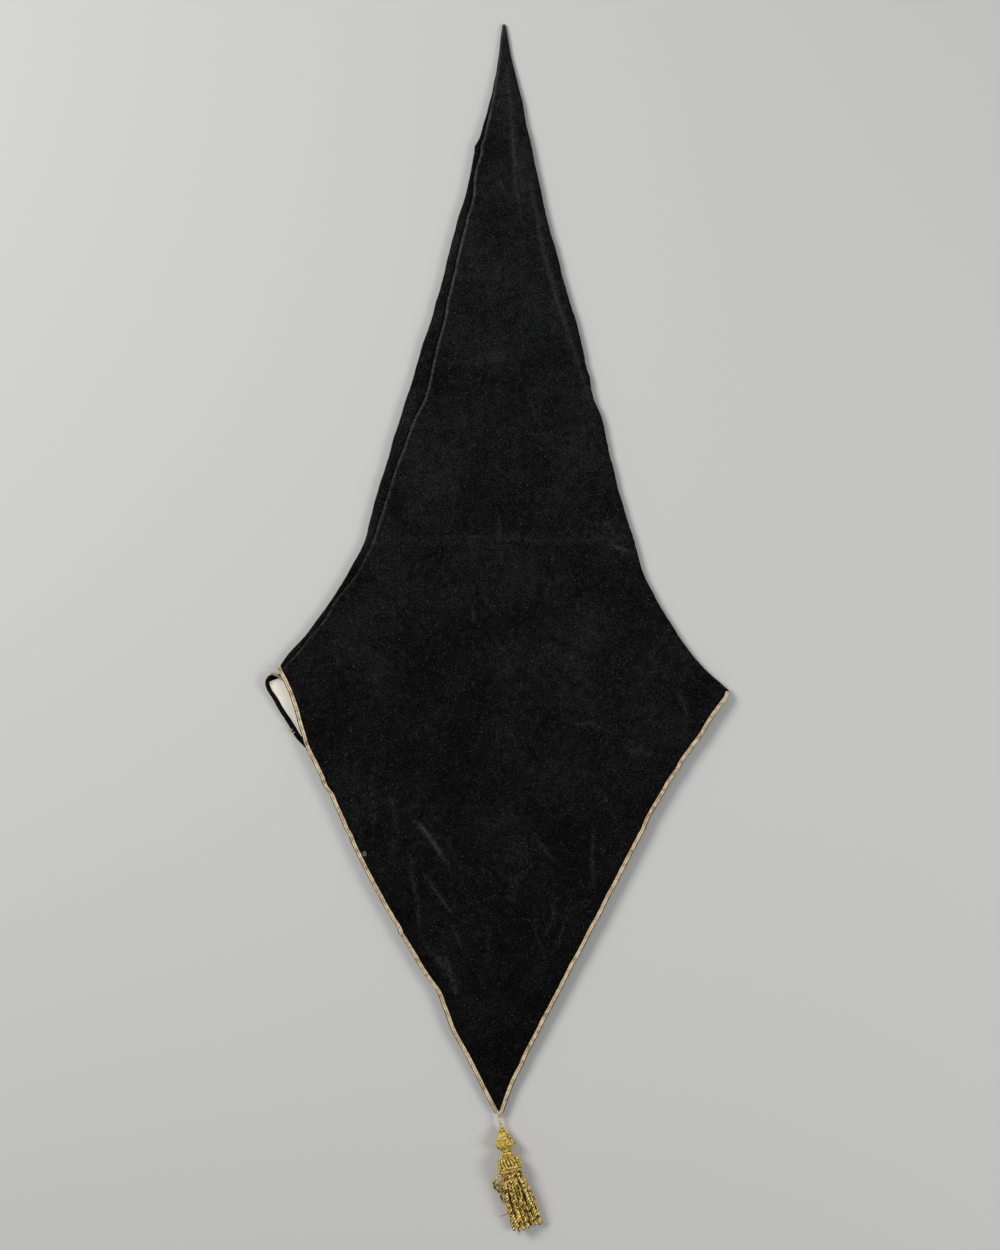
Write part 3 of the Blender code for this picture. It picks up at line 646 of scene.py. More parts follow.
class Wire:
    """A socket of a node tree. Maths written on wires adds the nodes that do it."""

    def __init__(self, tree, socket=None):
        self.tree = tree
        self.socket = socket

    def node(self, kind, values=(), output=0, **settings):
        """Adds a node: first its settings, then the values or wires of its sockets."""
        made = self.tree.nodes.new(kind)
        for setting, value in settings.items():
            setattr(made, setting, value)
        for place, value in dict(values).items():
            if isinstance(value, Wire):
                self.tree.links.new(value.socket, made.inputs[place])
            else:
                made.inputs[place].default_value = value
        return Wire(self.tree, made.outputs[output])

    def maths(self, operation, *others):
        """Maths on this wire, and on the others if the operation takes more than one."""
        return self.node("ShaderNodeMath", enumerate((self, *others)), operation=operation)

    def mixed(self, first, second):
        """A colour between two others, this wire being the second one's share."""
        values = {"Factor": self, 6: first, 7: second}
        return self.node("ShaderNodeMix", values, output=2, data_type="RGBA")

    def vector_maths(self, operation, other, output=0):
        """Vector maths on this wire and another vector, or a number that scales it."""
        place = "Scale" if operation == "SCALE" else 1
        return self.node("ShaderNodeVectorMath", {0: self, place: other}, output, operation=operation)

    def limited(self):
        return self.node("ShaderNodeClamp", {0: self})

    def __add__(self, other):
        return self.maths("ADD", other)

    def __radd__(self, other):
        return self + other

    def __sub__(self, other):
        return self.maths("SUBTRACT", other)

    def __rsub__(self, other):
        return self * -1.0 + other

    def __mul__(self, other):
        return self.maths("MULTIPLY", other)

    def __rmul__(self, other):
        return self * other

    def __truediv__(self, other):
        return self.maths("DIVIDE", other)

    def __gt__(self, other):
        return self.maths("GREATER_THAN", other)

    def __lt__(self, other):
        return self.maths("LESS_THAN", other)


def finish_tree(name, **constants):
    """A material, a wire into its tree, and its shader."""
    material = bpy.data.materials.new(name)
    material.use_nodes = True
    tree = material.node_tree
    shader = tree.nodes["Principled BSDF"]
    for socket, value in constants.items():
        shader.inputs[socket.replace("_", " ")].default_value = value
    return material, Wire(tree), shader


def linked(shader, **wires):
    for socket, wire in wires.items():
        wire.tree.links.new(wire.socket, shader.inputs[socket.replace("_", " ")])


def noise(at, scale, detail, roughness=0.5):
    values = {"Vector": at, "Scale": scale, "Detail": detail, "Roughness": roughness}
    return at.node("ShaderNodeTexNoise", values)


def bumped(height, strength, distance):
    values = {"Height": height, "Strength": strength, "Distance": distance}
    return height.node("ShaderNodeBump", values, output="Normal")


def mesh_value(wire, name):
    """A number that the mesh keeps for each point, for a material to read."""
    return wire.node("ShaderNodeAttribute", output="Fac", attribute_name=name)


# The velvet is nearly black, with a short pile of uneven tone. It is mottled where the nap
# has been pressed, and holds dust and specks of lint. Its pile also carries painted light:
# lighter towards the top of the hood, lighter along folds, seam, hem edges and tip, and
# darker along the back's seam.
VELVET_DEEP = (0.0010, 0.0010, 0.0011, 1.0)
VELVET_LIGHT = (0.0700, 0.0700, 0.0710, 1.0)
LINT_GREY = (0.20, 0.20, 0.20, 1.0)
LINT_SCALE = 420
velvet, wire, shader = finish_tree(
    "black_velvet",
    Roughness=0.85,
    Specular_IOR_Level=0.04,
    Sheen_Weight=0.05,
    Sheen_Roughness=0.35,
    Sheen_Tint=(0.90, 0.92, 1.0, 1.0),
)
at = wire.node("ShaderNodeTexCoord", output="Object")
painted_light_value = mesh_value(wire, "nap")
broken = noise(at, scale=260, detail=2)
blotches = noise(at, scale=16, detail=4)
pressed = noise(at, scale=120, detail=3)
pile = noise(at, scale=640, detail=3, roughness=0.75)
tufts = noise(at, scale=1500, detail=1, roughness=0.6)
# Painted light: the pile is painted lighter towards the top of the hood, and lighter or darker by the
# painted light kept on the mesh.
height = wire.node("ShaderNodeSeparateXYZ", {0: at}, output="Y")
lightness = 0.035 + height * 0.12 + painted_light_value * (broken * 1.8 - 0.25) + (blotches - 0.5) * 0.34
lightness = lightness + (pressed - 0.5) * 0.28 + (pile - 0.5) * 1.10 + (tufts - 0.5) * 1.00
speck_cell = wire.node("ShaderNodeTexVoronoi", {"Vector": at, "Scale": LINT_SCALE})
speck_draw = Wire(wire.tree, speck_cell.socket.node.outputs["Color"])
speck_size = wire.node("ShaderNodeSeparateColor", {0: speck_draw})
speck = (speck_cell + tufts * 0.12 < speck_size * 0.20) * (speck_size > 0.78)
colour = lightness.limited().mixed(VELVET_DEEP, VELVET_LIGHT)
colour = (speck * 0.7).mixed(colour, LINT_GREY)
relief = bumped(pile * 0.7 + tufts * 0.3 + pressed * 0.6, strength=0.55, distance=0.6 * MM)
linked(shader, Base_Color=colour, Normal=relief)

panels, hems = {}, {}
for name, node, rows, profile, left_stops, across, welt in (
    ("front_velvet", "velvet_front", front_rows, front_profile, EDGE_STOPS, FRONT_ACROSS, 1.0),
    ("back_velvet", "velvet_back", back_rows, back_profile, FOLD_STOPS, BACK_ACROSS, -0.2),
):
    points, normals, runs, lengths = cloth_grid(rows, profile, left_stops, EDGE_STOPS, across)
    points, nap = laid(points, normals, runs, lengths, rows, welt)
    walls = [tip_wall] + [VELVET_WALL] * (len(rows) - 1)
    mesh = cloth_shell(name, points, normals, runs, depth=0.0, walls=walls, nap=nap)
    panels[name] = shown_piece(name, mesh, velvet, "velvet", node, node + "_fold", node + "_tip")
    hems[name] = points[len(closed_rows):], normals[len(closed_rows):]

# Each panel has a lining of cream cotton twill, slip-stitched to the velvet that is
# turned in along the hems. It shows in the gaping left corner and inside the mouth.
LINING_DEPTH = 2.0 * MM
LINING_WALL = 1.0 * MM
LINING_INSET = 8.0 * MM
LINING_STEP = 4.0 * MM
CORNER_INSET = 22.0 * MM
LINING_START_WIDTH = 60 * MM
LINING_STOP_WIDTH = 45 * MM
LINING_STOPS = [0, 1.5, 3, 4.5, 6, 8, 10, 12.5, 15, 18, 22, 27, 33, 42]
LINING_ACROSS = 50
CORNER_TOP_Y = -57
CORNER_TOP_RAMP = 5
CORNER_END_Y = 20
CORNER_END_RAMP = 30
TWILL_PITCH = 1.1 * MM
CREAM = (0.95, 0.89, 0.79, 1.0)
CREAM_SHADE = (0.66, 0.56, 0.45, 1.0)
twill, wire, shader = finish_tree("cream_twill", Roughness=0.8, Sheen_Weight=0.15)
cloth_uv = wire.node("ShaderNodeUVMap", output="UV", uv_map="cloth")
place = wire.node("ShaderNodeSeparateXYZ", {0: cloth_uv}, output="X")
place_along = Wire(wire.tree, place.socket.node.outputs["Y"])
uneven = noise(cloth_uv, scale=90, detail=3)
ribs = ((place + place_along) * (2 * math.pi / TWILL_PITCH) + uneven * 1.5).maths("SINE")
threads = ((place - place_along) * (4 * math.pi / TWILL_PITCH)).maths("SINE")
shade = (ribs * 0.10 + threads * 0.06 + (uneven - 0.5) * 0.8 + 0.18).limited()
weave = bumped(ribs * -0.5 + threads * 0.25, strength=0.35, distance=0.12 * MM)
linked(shader, Base_Color=shade.mixed(CREAM, CREAM_SHADE), Normal=weave)


def lining_rows(flaps):
    """The rows of a panel that its lining reaches, above and below."""
    rows = wandering(in_between(SECTIONS, LINING_STEP)) + wandering(in_between(flaps, LINING_STEP))
    widths = [line_of(row)[2] for row in rows]
    first = min(i for i, width in enumerate(widths) if width > LINING_START_WIDTH)
    last = max(i for i, width in enumerate(widths) if width > LINING_STOP_WIDTH)
    return rows[first : last + 1]


def even_insets(row):
    return LINING_INSET, LINING_INSET


def corner_insets(row):
    """The back's lining leaves bare the velvet turned in at the top of the gaping corner."""
    top = smoothstep((row.left_y - CORNER_TOP_Y) / CORNER_TOP_RAMP)
    top *= smoothstep((CORNER_END_Y - row.left_y) / CORNER_END_RAMP)
    return LINING_INSET + (CORNER_INSET - LINING_INSET) * float(top), LINING_INSET


for name, node, flaps, profile, insets, under in (
    ("front_lining", "lining_front", FRONT_FLAPS, front_profile, even_insets, "front_velvet"),
    ("back_lining", "lining_back", BACK_FLAPS, back_profile, corner_insets, "back_velvet"),
):
    rows = lining_rows(flaps)
    points, normals, runs, lengths = cloth_grid(
        rows, profile, LINING_STOPS, LINING_STOPS, LINING_ACROSS, insets
    )
    points, _ = laid(points, normals, runs, lengths, rows)
    mesh = cloth_shell(name, points, normals, runs, depth=LINING_DEPTH, walls=LINING_WALL)
    piece = shown_piece(name, mesh, twill, "lining", node)

# The hems are edged with a narrow soutache braid of pale gold thread: two cords side by
# side, covered by threads that cross from one to the other and so lie in small vees.
# It is sewn on flat along the edge of each flap, from corner to point to corner.
BRAID_IN = 2.6 * MM
BRAID_GAP = 0.3 * MM
BRAID_HALF_WIDTH = 1.85 * MM
BRAID_HALF_THICK = 0.9 * MM
BRAID_STEP = 0.80 * MM
BRAID_THREAD = 0.34 * MM
BRAID_SLANT = 1.6 * MM
BRAID_RISE = BRAID_HALF_THICK * 0.8
BRAID_PALE = (0.88, 0.74, 0.50, 1.0)
BRAID_DARK = (0.30, 0.19, 0.08, 1.0)


def geometry_tree(name, *sizes):
    """A Geometry Nodes tree with named size inputs, and a wire for each of its inputs."""
    tree = bpy.data.node_groups.new(name, "GeometryNodeTree")
    tree.interface.new_socket("Geometry", in_out="INPUT", socket_type="NodeSocketGeometry")
    tree.interface.new_socket("Geometry", in_out="OUTPUT", socket_type="NodeSocketGeometry")
    for size in sizes:
        tree.interface.new_socket(size, in_out="INPUT", socket_type="NodeSocketFloat")
    group_in = tree.nodes.new("NodeGroupInput")
    tree.nodes.new("NodeGroupOutput")
    return Wire(tree), {s.name: Wire(tree, s) for s in group_in.outputs if s.name}


def end_tree(made, material):
    """Ends a Geometry Nodes tree: instances become real and get their material."""
    real = made.node("GeometryNodeRealizeInstances", {0: made})
    painted = made.node("GeometryNodeSetMaterial", {"Geometry": real, "Material": material})
    group_out = next(n for n in made.tree.nodes if n.bl_idname == "NodeGroupOutput")
    made.tree.links.new(painted.socket, group_out.inputs[0])


def grown(mesh, tree, **sizes):
    """The plain mesh that a Geometry Nodes tree makes from a starting mesh."""
    start = bpy.data.objects.new("start", mesh)
    scene.collection.objects.link(start)
    modifier = start.modifiers.new("grow", "NODES")
    modifier.node_group = tree
    for item in tree.interface.items_tree:
        wanted = item.name.replace(" ", "_").lower()
        if item.in_out == "INPUT" and wanted in sizes:
            modifier[item.identifier] = sizes[wanted]
    ready = start.evaluated_get(bpy.context.evaluated_depsgraph_get())
    made = bpy.data.meshes.new_from_object(ready)
    start.modifiers.clear()
    bpy.data.objects.remove(start)
    return made


def kept(made, name, value, kind="FLOAT"):
    """The same geometry with a value stored under a name for the material to read."""
    values = {"Geometry": made, "Name": name, "Value": value}
    return made.node("GeometryNodeStoreNamedAttribute", values, data_type=kind)


def given(wire, name, kind="FLOAT"):
    """A value that the mesh keeps for each point, inside a Geometry Nodes tree."""
    return wire.node("GeometryNodeInputNamedAttribute", {"Name": name}, data_type=kind)


def braid_thread_tree(material):
    """One thread for each point: a vee that dips between the two cords it covers."""
    wire, size = geometry_tree("soutache_threads", "Half Width", "Rise", "Slant", "Thread")
    half = size["Half Width"]
    line = wire.node("GeometryNodeCurvePrimitiveLine", {"End": (1.0, 0.0, 0.0)})
    line = wire.node("GeometryNodeResampleCurve", {"Curve": line, "Count": 11})
    share = wire.node("GeometryNodeSplineParameter") * 2 - 1
    out = share.maths("ABSOLUTE")
    lobe = out * 2 - 1
    bulge = (1.001 - lobe * lobe).maths("SQRT")
    spot = wire.node(
        "ShaderNodeCombineXYZ",
        {"X": share * half, "Y": (0.5 - out) * size["Slant"], "Z": bulge * size["Rise"]},
    )
    line = wire.node("GeometryNodeSetPosition", {"Geometry": line, "Position": spot})
    # The crown value, the thread's height over the cords, later paints the braid lighter on its cords
    # and darker between them.
    line = kept(line, "crown", bulge)
    ring = wire.node("GeometryNodeCurvePrimitiveCircle", {"Resolution": 4, "Radius": size["Thread"]})
    thread = wire.node("GeometryNodeCurveToMesh", {"Curve": line, "Profile Curve": ring})
    ways = {
        "Primary Axis": given(wire, "up", "FLOAT_VECTOR"),
        "Secondary Axis": given(wire, "along", "FLOAT_VECTOR"),
    }
    turn = wire.node("FunctionNodeAxesToRotation", ways, primary_axis="Z", secondary_axis="Y")
    draw = wire.node(
        "FunctionNodeRandomValue",
        {"Min": (0.96, 0.8, 0.9), "Max": (1.04, 1.2, 1.1), "Seed": 3},
        data_type="FLOAT_VECTOR",
    )
    made = wire.node(
        "GeometryNodeInstanceOnPoints",
        {"Points": size["Geometry"], "Instance": thread, "Rotation": turn, "Scale": draw},
    )
    end_tree(made, material)
    return wire.tree


braid_gold, wire, shader = finish_tree("pale_gold_braid", Metallic=0.35)
at = wire.node("ShaderNodeTexCoord", output="Object")
strands = noise(at, scale=1400, detail=2)
uneven = noise(at, scale=150, detail=3)
# The braid is painted pale on the crowns of its cords and dark where its threads dip between them or
# end, and all dark on its core, which has no crown value: painted highlight and painted shade. The
# noise adds uneven tone.
shade = (uneven - 0.5) * 3.2 + (strands - 0.5) * 1.2 + 1.05 - mesh_value(wire, "crown") * 0.95
shade = shade.limited()
linked(
    shader, Base_Color=shade.mixed(BRAID_PALE, BRAID_DARK), Roughness=shade * 0.25 + 0.38,
    Normal=bumped(strands, strength=0.4, distance=0.1 * MM),
)
threads_tree = braid_thread_tree(braid_gold)


def inboard(points, normals, distance):
    """The place and the normal at a distance along a row from its first point."""
    run = lengths_along(points)
    pick = np.array([np.interp(distance, run, part) for part in (*points.T, *normals.T)])
    return pick[:3], pick[3:] / np.linalg.norm(pick[3:])


def softened(part):
    """Each value averaged with the two before it and the two after it."""
    return np.convolve(np.pad(part, 2, mode="edge"), np.ones(5) / 5, "valid")


def hem_route(points, normals, tuck, lead, skipped, tail):
    """A braid's middle line, evenly spaced, with the way it runs and the way up.

    Lead and tail are places before and after the hem, and the lead takes the place of
    the skipped rows. Tuck says how much further in the braid lies on the left.
    """
    left = [inboard(p, n, BRAID_IN + tuck(p[0, 1])) for p, n in zip(points, normals)][skipped:]
    right = [inboard(p[::-1], n[::-1], BRAID_IN) for p, n in zip(points, normals)]
    lead, tail = [[(np.array(row[:3]) * MM, row[3:]) for row in table] for table in (lead, tail)]
    stops = lead + left + right[::-1] + tail
    ups = np.array([normal for _, normal in stops])
    route = np.array([place for place, _ in stops]) + ups * (BRAID_GAP + BRAID_HALF_THICK)
    run = lengths_along(route)
    even = np.linspace(0, run[-1], round(run[-1] / BRAID_STEP))
    route = np.column_stack([np.interp(even, run, part) for part in route.T])
    ups = np.column_stack([np.interp(even, run, part) for part in ups.T])
    route = np.column_stack([softened(part) for part in route.T])
    route[:, 2] = np.maximum(route[:, 2], BRAID_HALF_THICK + BRAID_THREAD)
    along = np.gradient(route, axis=0)
    along /= np.linalg.norm(along, axis=1)[:, None]
    ups -= (ups * along).sum(1)[:, None] * along
    ups /= np.linalg.norm(ups, axis=1)[:, None]
    return route, along, ups


def swept(name, route, along, ups, section):
    """A closed tube with the given section, in metres across and up, along a route."""
    sides = np.cross(along, ups)
    section = np.array(section)
    rings = (
        route[:, None]
        + sides[:, None] * section[None, :, :1]
        + ups[:, None] * section[None, :, 1:]
    )
    count, around = rings.shape[:2]
    index = np.arange(count * around).reshape(count, around)
    after = np.roll(index, -1, axis=1)
    quads = np.stack([index[:-1], after[:-1], after[1:], index[1:]], axis=-1).reshape(-1, 4)
    faces = quads.tolist() + [index[0, ::-1].tolist(), index[-1].tolist()]
    mesh = bpy.data.meshes.new(name)
    mesh.from_pydata(rings.reshape(-1, 3).tolist(), [], faces)
    mesh.shade_smooth()
    return mesh


def joined_mesh(name, *meshes):
    """One mesh from several, all of them already in place."""
    things = []
    for mesh in meshes:
        thing = bpy.data.objects.new(name, mesh)
        scene.collection.objects.link(thing)
        things.append(thing)
    with bpy.context.temp_override(
        active_object=things[0], selected_editable_objects=things, object=things[0]
    ):
        bpy.ops.object.join()
    mesh = things[0].data
    bpy.data.objects.remove(things[0])
    mesh.name = name
    return mesh


# The braid's core in cross-section, in shares of its half width and half thickness.
over_cord = [(0.5 * math.cos(t), 0.85 * math.sin(t)) for t in np.radians([150, 120, 90, 60, 30])]
two_cords = [(-1, 0)] + [(x - 0.5, z) for x, z in over_cord] + [(0, 0.1)]
two_cords += [(x + 0.5, z) for x, z in over_cord] + [(1, 0), (0.9, -0.8), (-0.9, -0.8)]
CORE_SHARE = 0.97
BRAID_SECTION = [
    (x * BRAID_HALF_WIDTH * CORE_SHARE, z * BRAID_HALF_THICK) for x, z in reversed(two_cords)
]

# Where a braid leaves its hem it follows a few places of its own, in millimetres, each
# with the way up from the cloth. The back's runs along the rim and in under the front.
BraidStop = namedtuple("BraidStop", "x y z up_x up_y up_z")
FRONT_LEAD = [BraidStop(-239.4, -40.6, 10.6, 0, 0, 1), BraidStop(-236.6, -47, 10.6, 0, 0, 1)]
FRONT_TAIL = [BraidStop(252.4, -67.6, 10.3, 0.35, -0.1, 0.93)]
BACK_LEAD = [
    BraidStop(-234.4, -56.8, 6.6, 0.45, 0.75, 0.48),
    BraidStop(-238.4, -53.4, 7.4, 0.42, 0.79, 0.45),
    BraidStop(-242.8, -50.8, 7.9, 0.27, 0.85, 0.45),
    BraidStop(-246.8, -49.4, 7.8, -0.12, 0.89, 0.44),
    BraidStop(-249.8, -50.6, 7, -0.55, 0.70, 0.45),
]
BACK_SKIPPED = 4
BACK_TUCK = 4.4 * MM
TUCK_FROM = -49 * MM
TUCK_RAMP = 6 * MM
TUCK_END = -300 * MM
TUCK_END_RAMP = 100 * MM


def not_tucked(y):
    return 0.0


def tucked_under(y):
    """The back's braid lies out of sight under the curled hem, below its top rim."""
    begun = smoothstep((TUCK_FROM - y) / TUCK_RAMP)
    return BACK_TUCK * float(begun * smoothstep((y - TUCK_END) / TUCK_END_RAMP))


for name, node, panel, tuck, lead, skipped, tail in (
    ("front_braid", "hem_braid_front", "front_velvet", not_tucked, FRONT_LEAD, 0, FRONT_TAIL),
    ("back_braid", "hem_braid_back", "back_velvet", tucked_under, BACK_LEAD, BACK_SKIPPED, []),
):
    route, along, ups = hem_route(*hems[panel], tuck, lead, skipped, tail)
    core = swept(name, route, along, ups, BRAID_SECTION)
    stops = bpy.data.meshes.new("thread_stops")
    stops.from_pydata(route.tolist(), [], [])
    with_attributes(stops, along=along, up=ups)
    threads = grown(
        stops, threads_tree, half_width=BRAID_HALF_WIDTH, rise=BRAID_RISE,
        slant=BRAID_SLANT, thread=BRAID_THREAD,
    )
    # The core has no crown value, so it shows the braid's dark painted shade between the threads.
    shown_piece(name, joined_mesh(name, core, threads), braid_gold, "braid", node)

# A tassel of gold thread is tied to the point of the front hem. Its cord, the cords
# wound on its wooden moulds and the strands of its skirt are all two-ply twists.
CORD_START = Vector((2.5, -534.0, 7.9)) * MM
TASSEL_TOP = Vector((5.2, -546.0, 9.4)) * MM
DOME_CENTRE = Vector((14.3, -588.0, 13.3)) * MM
SKIRT_END = Vector((33.5, -655.0, 7.6)) * MM
GOLD = (0.98, 0.64, 0.09, 1.0)
# The deep gold serves the gilt's uneven tone and its painted shade; the pale gold is a painted glint.
GOLD_DEEP = (0.045, 0.020, 0.003, 1.0)
GOLD_PAINTED_GLINT = (1.0, 0.87, 0.38, 1.0)
PLY_OVERLAP = 1.08


def twist_tree(material):
    """Two-ply cord along each line: thick, turn and spread may differ along a line."""
    wire, size = geometry_tree("twisted_cord", "Step", "Pitch", "Ply")
    line = wire.node("GeometryNodeMeshToCurve", {0: size["Geometry"]})
    line = wire.node(
        "GeometryNodeResampleCurve", {"Curve": line, "Length": size["Step"]}, mode="LENGTH"
    )
    length = wire.node("GeometryNodeSplineParameter", output="Length")
    normal = wire.node("GeometryNodeInputNormal")
    tangent = wire.node("GeometryNodeInputTangent")
    side = tangent.vector_maths("CROSS_PRODUCT", normal)
    thick = size["Ply"] * given(wire, "thick")
    reach = thick * given(wire, "spread")
    middle = wire.node("GeometryNodeInputPosition")
    line = kept(line, "middle", middle, "FLOAT_VECTOR")
    ring = wire.node("GeometryNodeCurvePrimitiveCircle", {"Resolution": 6, "Radius": PLY_OVERLAP})
    plies = []
    for phase in (0.0, math.pi):
        angle = length / size["Pitch"] * (2 * math.pi) + given(wire, "turn") + phase
        across = normal.vector_maths("SCALE", angle.maths("COSINE") * reach)
        offset = across.vector_maths("ADD", side.vector_maths("SCALE", angle.maths("SINE") * reach))
        ply = wire.node("GeometryNodeSetPosition", {"Geometry": line, "Offset": offset})
        values = {"Curve": ply, "Profile Curve": ring, "Scale": thick, "Fill Caps": True}
        plies.append(wire.node("GeometryNodeCurveToMesh", values))
    both = wire.node("GeometryNodeJoinGeometry", {0: plies[0]})
    wire.tree.links.new(plies[1].socket, both.socket.node.inputs[0])
    # The crown value, each point's distance from the cord's middle against twice the ply, paints the
    # gilt dark between the plies and glinting on their crowns: painted shade and painted glints.
    out = middle.vector_maths("DISTANCE", given(wire, "middle", "FLOAT_VECTOR"), "Value")
    end_tree(kept(both, "crown", out / (thick * 2.0)), material)
    return wire.tree


def lines_mesh(routes, thick=1.0, turns=None, spreads=None):
    """A mesh of open lines for the cord tree, one for each route of points."""
    points, edges, thicks, turn, spread = [], [], [], [], []
    for i, route in enumerate(routes):
        first = len(points)
        points += [tuple(point) for point in route]
        edges += [(k, k + 1) for k in range(first, len(points) - 1)]
        thicks += [thick if np.isscalar(thick) else thick[i]] * len(route)
        turn += [0.0 if turns is None else turns[i]] * len(route)
        spread += [1.0] * len(route) if spreads is None else list(spreads[i])
    mesh = bpy.data.meshes.new("cord_lines")
    mesh.from_pydata(points, edges, [])
    return with_attributes(mesh, thick=thicks, turn=turn, spread=spread)


def gold(name, sparkle):
    """Gilt thread of uneven tone, painted dark between its plies as painted shade, with painted glints
    on their crowns.
    """
    material, wire, shader = finish_tree(name, Metallic=0.45)
    at = wire.node("ShaderNodeTexCoord", output="Object")
    uneven = noise(at, scale=440 - 160 * sparkle, detail=2)
    glint = noise(at, scale=500 - 160 * sparkle, detail=2, roughness=0.7)
    crown_height = mesh_value(wire, "crown")
    shade = (uneven - 0.5) * (2.4 + 1.8 * sparkle) + (glint - 0.5) * (1.0 + 2.2 * sparkle)
    # The crown value darkens the gilt between the plies: painted shade.
    shade = (shade + 2.84 + 0.20 * sparkle - crown_height * 2.70).limited()
    # Pale gold where the noise is high on the crowns and the uneven tone is low: painted glints.
    painted_glint = ((glint - 0.48) * 10.0).limited() * (crown_height > 0.70)
    painted_glint = painted_glint * ((0.56 - uneven) * 12.0).limited()
    colour = painted_glint.mixed(shade.mixed(GOLD, GOLD_DEEP), GOLD_PAINTED_GLINT)
    relief = bumped(glint, strength=0.3 + 0.7 * sparkle, distance=0.5 * MM)
    linked(shader, Base_Color=colour, Roughness=shade * 0.3 + 0.26, Normal=relief)
    return material


gold_thread = gold("gold_thread", 0.3)
gold_bullion = gold("gold_bullion", 1.0)
twist = twist_tree(gold_thread)


def cords(tree, routes, step, pitch, ply, **shape):
    """Twisted cords along routes, with their sizes in millimetres."""
    return grown(lines_mesh(routes, **shape), tree, step=step * MM, pitch=pitch * MM, ply=ply * MM)


CORD_BOW = Vector((-0.6, 0.0, 0.3)) * MM
cord_route = [
    CORD_START.lerp(TASSEL_TOP, t) + CORD_BOW * math.sin(math.pi * t)
    for t in np.linspace(0, 1, 9)
]
cord_mesh = cords(twist, [cord_route], step=0.4, pitch=4.5, ply=0.72)
shown_piece("knot_cord", cord_mesh, gold_thread, "tassel", "tassel_cord")

# The head of the tassel is a pear-shaped knob, a collar and a dome, each a wooden
# mould wound with gold cord: slanting both ways on the knob, in rings on the collar
# and straight down on the dome, which two twisted rings close at its foot.
Turned = namedtuple("Turned", "radius down")
KNOB_PROFILE = [Turned(*row) for row in (
    (0.4, 0), (1.6, 0.4), (2.6, 4), (4.4, 8.5), (5.2, 12.4), (7.8, 14.8), (9, 18), (8.3, 20.8),
    (5.9, 23.6), (3.7, 25.8), (3.3, 27),
)]
COLLAR_PROFILE = [Turned(*row) for row in ((3, 27.2), (3.9, 27.9), (4.2, 29.5), (3.9, 31.2), (3, 31.8))]
DOME_PROFILE = [Turned(*row) for row in (
    (4.2, 32), (8.2, 33.4), (10.7, 37), (11.4, 41.5), (11.1, 45.4), (11, 48.4), (10.4, 50),
)]
NECK_RINGS = [Turned(*row) for row in (
    (1.8, 0.8), (2.3, 2.4), (3.1, 4), (3.4, 5.5), (4.6, 7), (4.9, 8.6), (5.1, 10.1), (6.5, 11.7),
    (6.7, 13.3), (4.9, 24.8), (3.7, 26.3),
)]
COLLAR_RINGS = [Turned(4.4, 29.5)]
FOOT_RINGS = [Turned(11.6, 45.4), Turned(11.65, 48.4)]
head_way = (DOME_CENTRE - TASSEL_TOP).normalized()
head_side = head_way.cross(Vector((0, 0, 1))).normalized()
head_up = head_side.cross(head_way)


def smooth_line(places, count):
    """Even points, in metres, on a smooth line through a few places in millimetres."""
    table = np.array(places, float) * MM
    run = lengths_along(table)
    out = []
    for at in np.linspace(0, run[-1], count):
        i = min(int(np.searchsorted(run, at, side="right")) - 1, len(run) - 2)
        out.append(smooth_point(table, run, i, (at - run[i]) / (run[i + 1] - run[i])))
    return np.array(out)


def on_head(radius, down, angle):
    place = TASSEL_TOP + head_way * down
    return place + (head_side * math.cos(angle) + head_up * math.sin(angle)) * radius


def turned(profile, sides):
    """The closed mould under the cords, turned on the tassel's leaning axis."""
    rings = [[on_head(r, d, 2 * math.pi * k / sides) for k in range(sides)] for r, d in profile]
    points = [tuple(point) for ring in rings for point in ring]
    faces = [tuple(range(sides)), tuple(reversed(range(len(points) - sides, len(points))))]
    for i in range(len(rings) - 1):
        for k in range(sides):
            a, b = i * sides + k, i * sides + (k + 1) % sides
            faces.append((a, a + sides, b + sides, b))
    mesh = bpy.data.meshes.new("mould")
    mesh.from_pydata(points, [], faces)
    mesh.shade_smooth()
    # The mould has no crown value, so its gilt takes the deepest gold all over: painted shade in the
    # gaps between the cords.
    mesh.materials.append(gold_thread)
    return mesh


def ringed(rings, count):
    """Routes of the cords that go once round the head."""
    return [
        [on_head(r * MM, d * MM, 2 * math.pi * k / count) for k in range(count + 1)] for r, d in rings
    ]


knob_line = smooth_line(KNOB_PROFILE, count=60)
neck_cords = cords(twist, ringed(NECK_RINGS, count=24), step=0.5, pitch=3.2, ply=0.64)
LATTICE_CORDS = 4
LATTICE_LOOPS = 8
LATTICE_POINTS = 360
LATTICE_MIDDLE = 19.2 * MM
LATTICE_REACH = 4.5 * MM
LATTICE_CLEAR = 0.75 * MM
LATTICE_OVER = 0.35 * MM


def lattice(phase):
    """A cord that runs up and down round the knob's bulge, one loop after another."""
    route = []
    for k in range(LATTICE_POINTS + 1):
        angle = 2 * math.pi * k / LATTICE_POINTS
        down = LATTICE_MIDDLE + LATTICE_REACH * math.sin(LATTICE_LOOPS * angle + phase)
        radius = np.interp(down, knob_line[:, 1], knob_line[:, 0])
        over = LATTICE_OVER * math.cos(LATTICE_LOOPS * angle + phase)
        route.append(on_head(radius + LATTICE_CLEAR + over, down, angle))
    return route


bulge_routes = [lattice(k * math.pi / 2) for k in range(LATTICE_CORDS)]
bulge_cords = cords(twist, bulge_routes, step=0.6, pitch=3.2, ply=0.50)
knob = joined_mesh("wound_knob", turned(knob_line, sides=32), neck_cords, bulge_cords)
shown_piece("wound_knob", knob, gold_thread, "tassel", "tassel_knob")

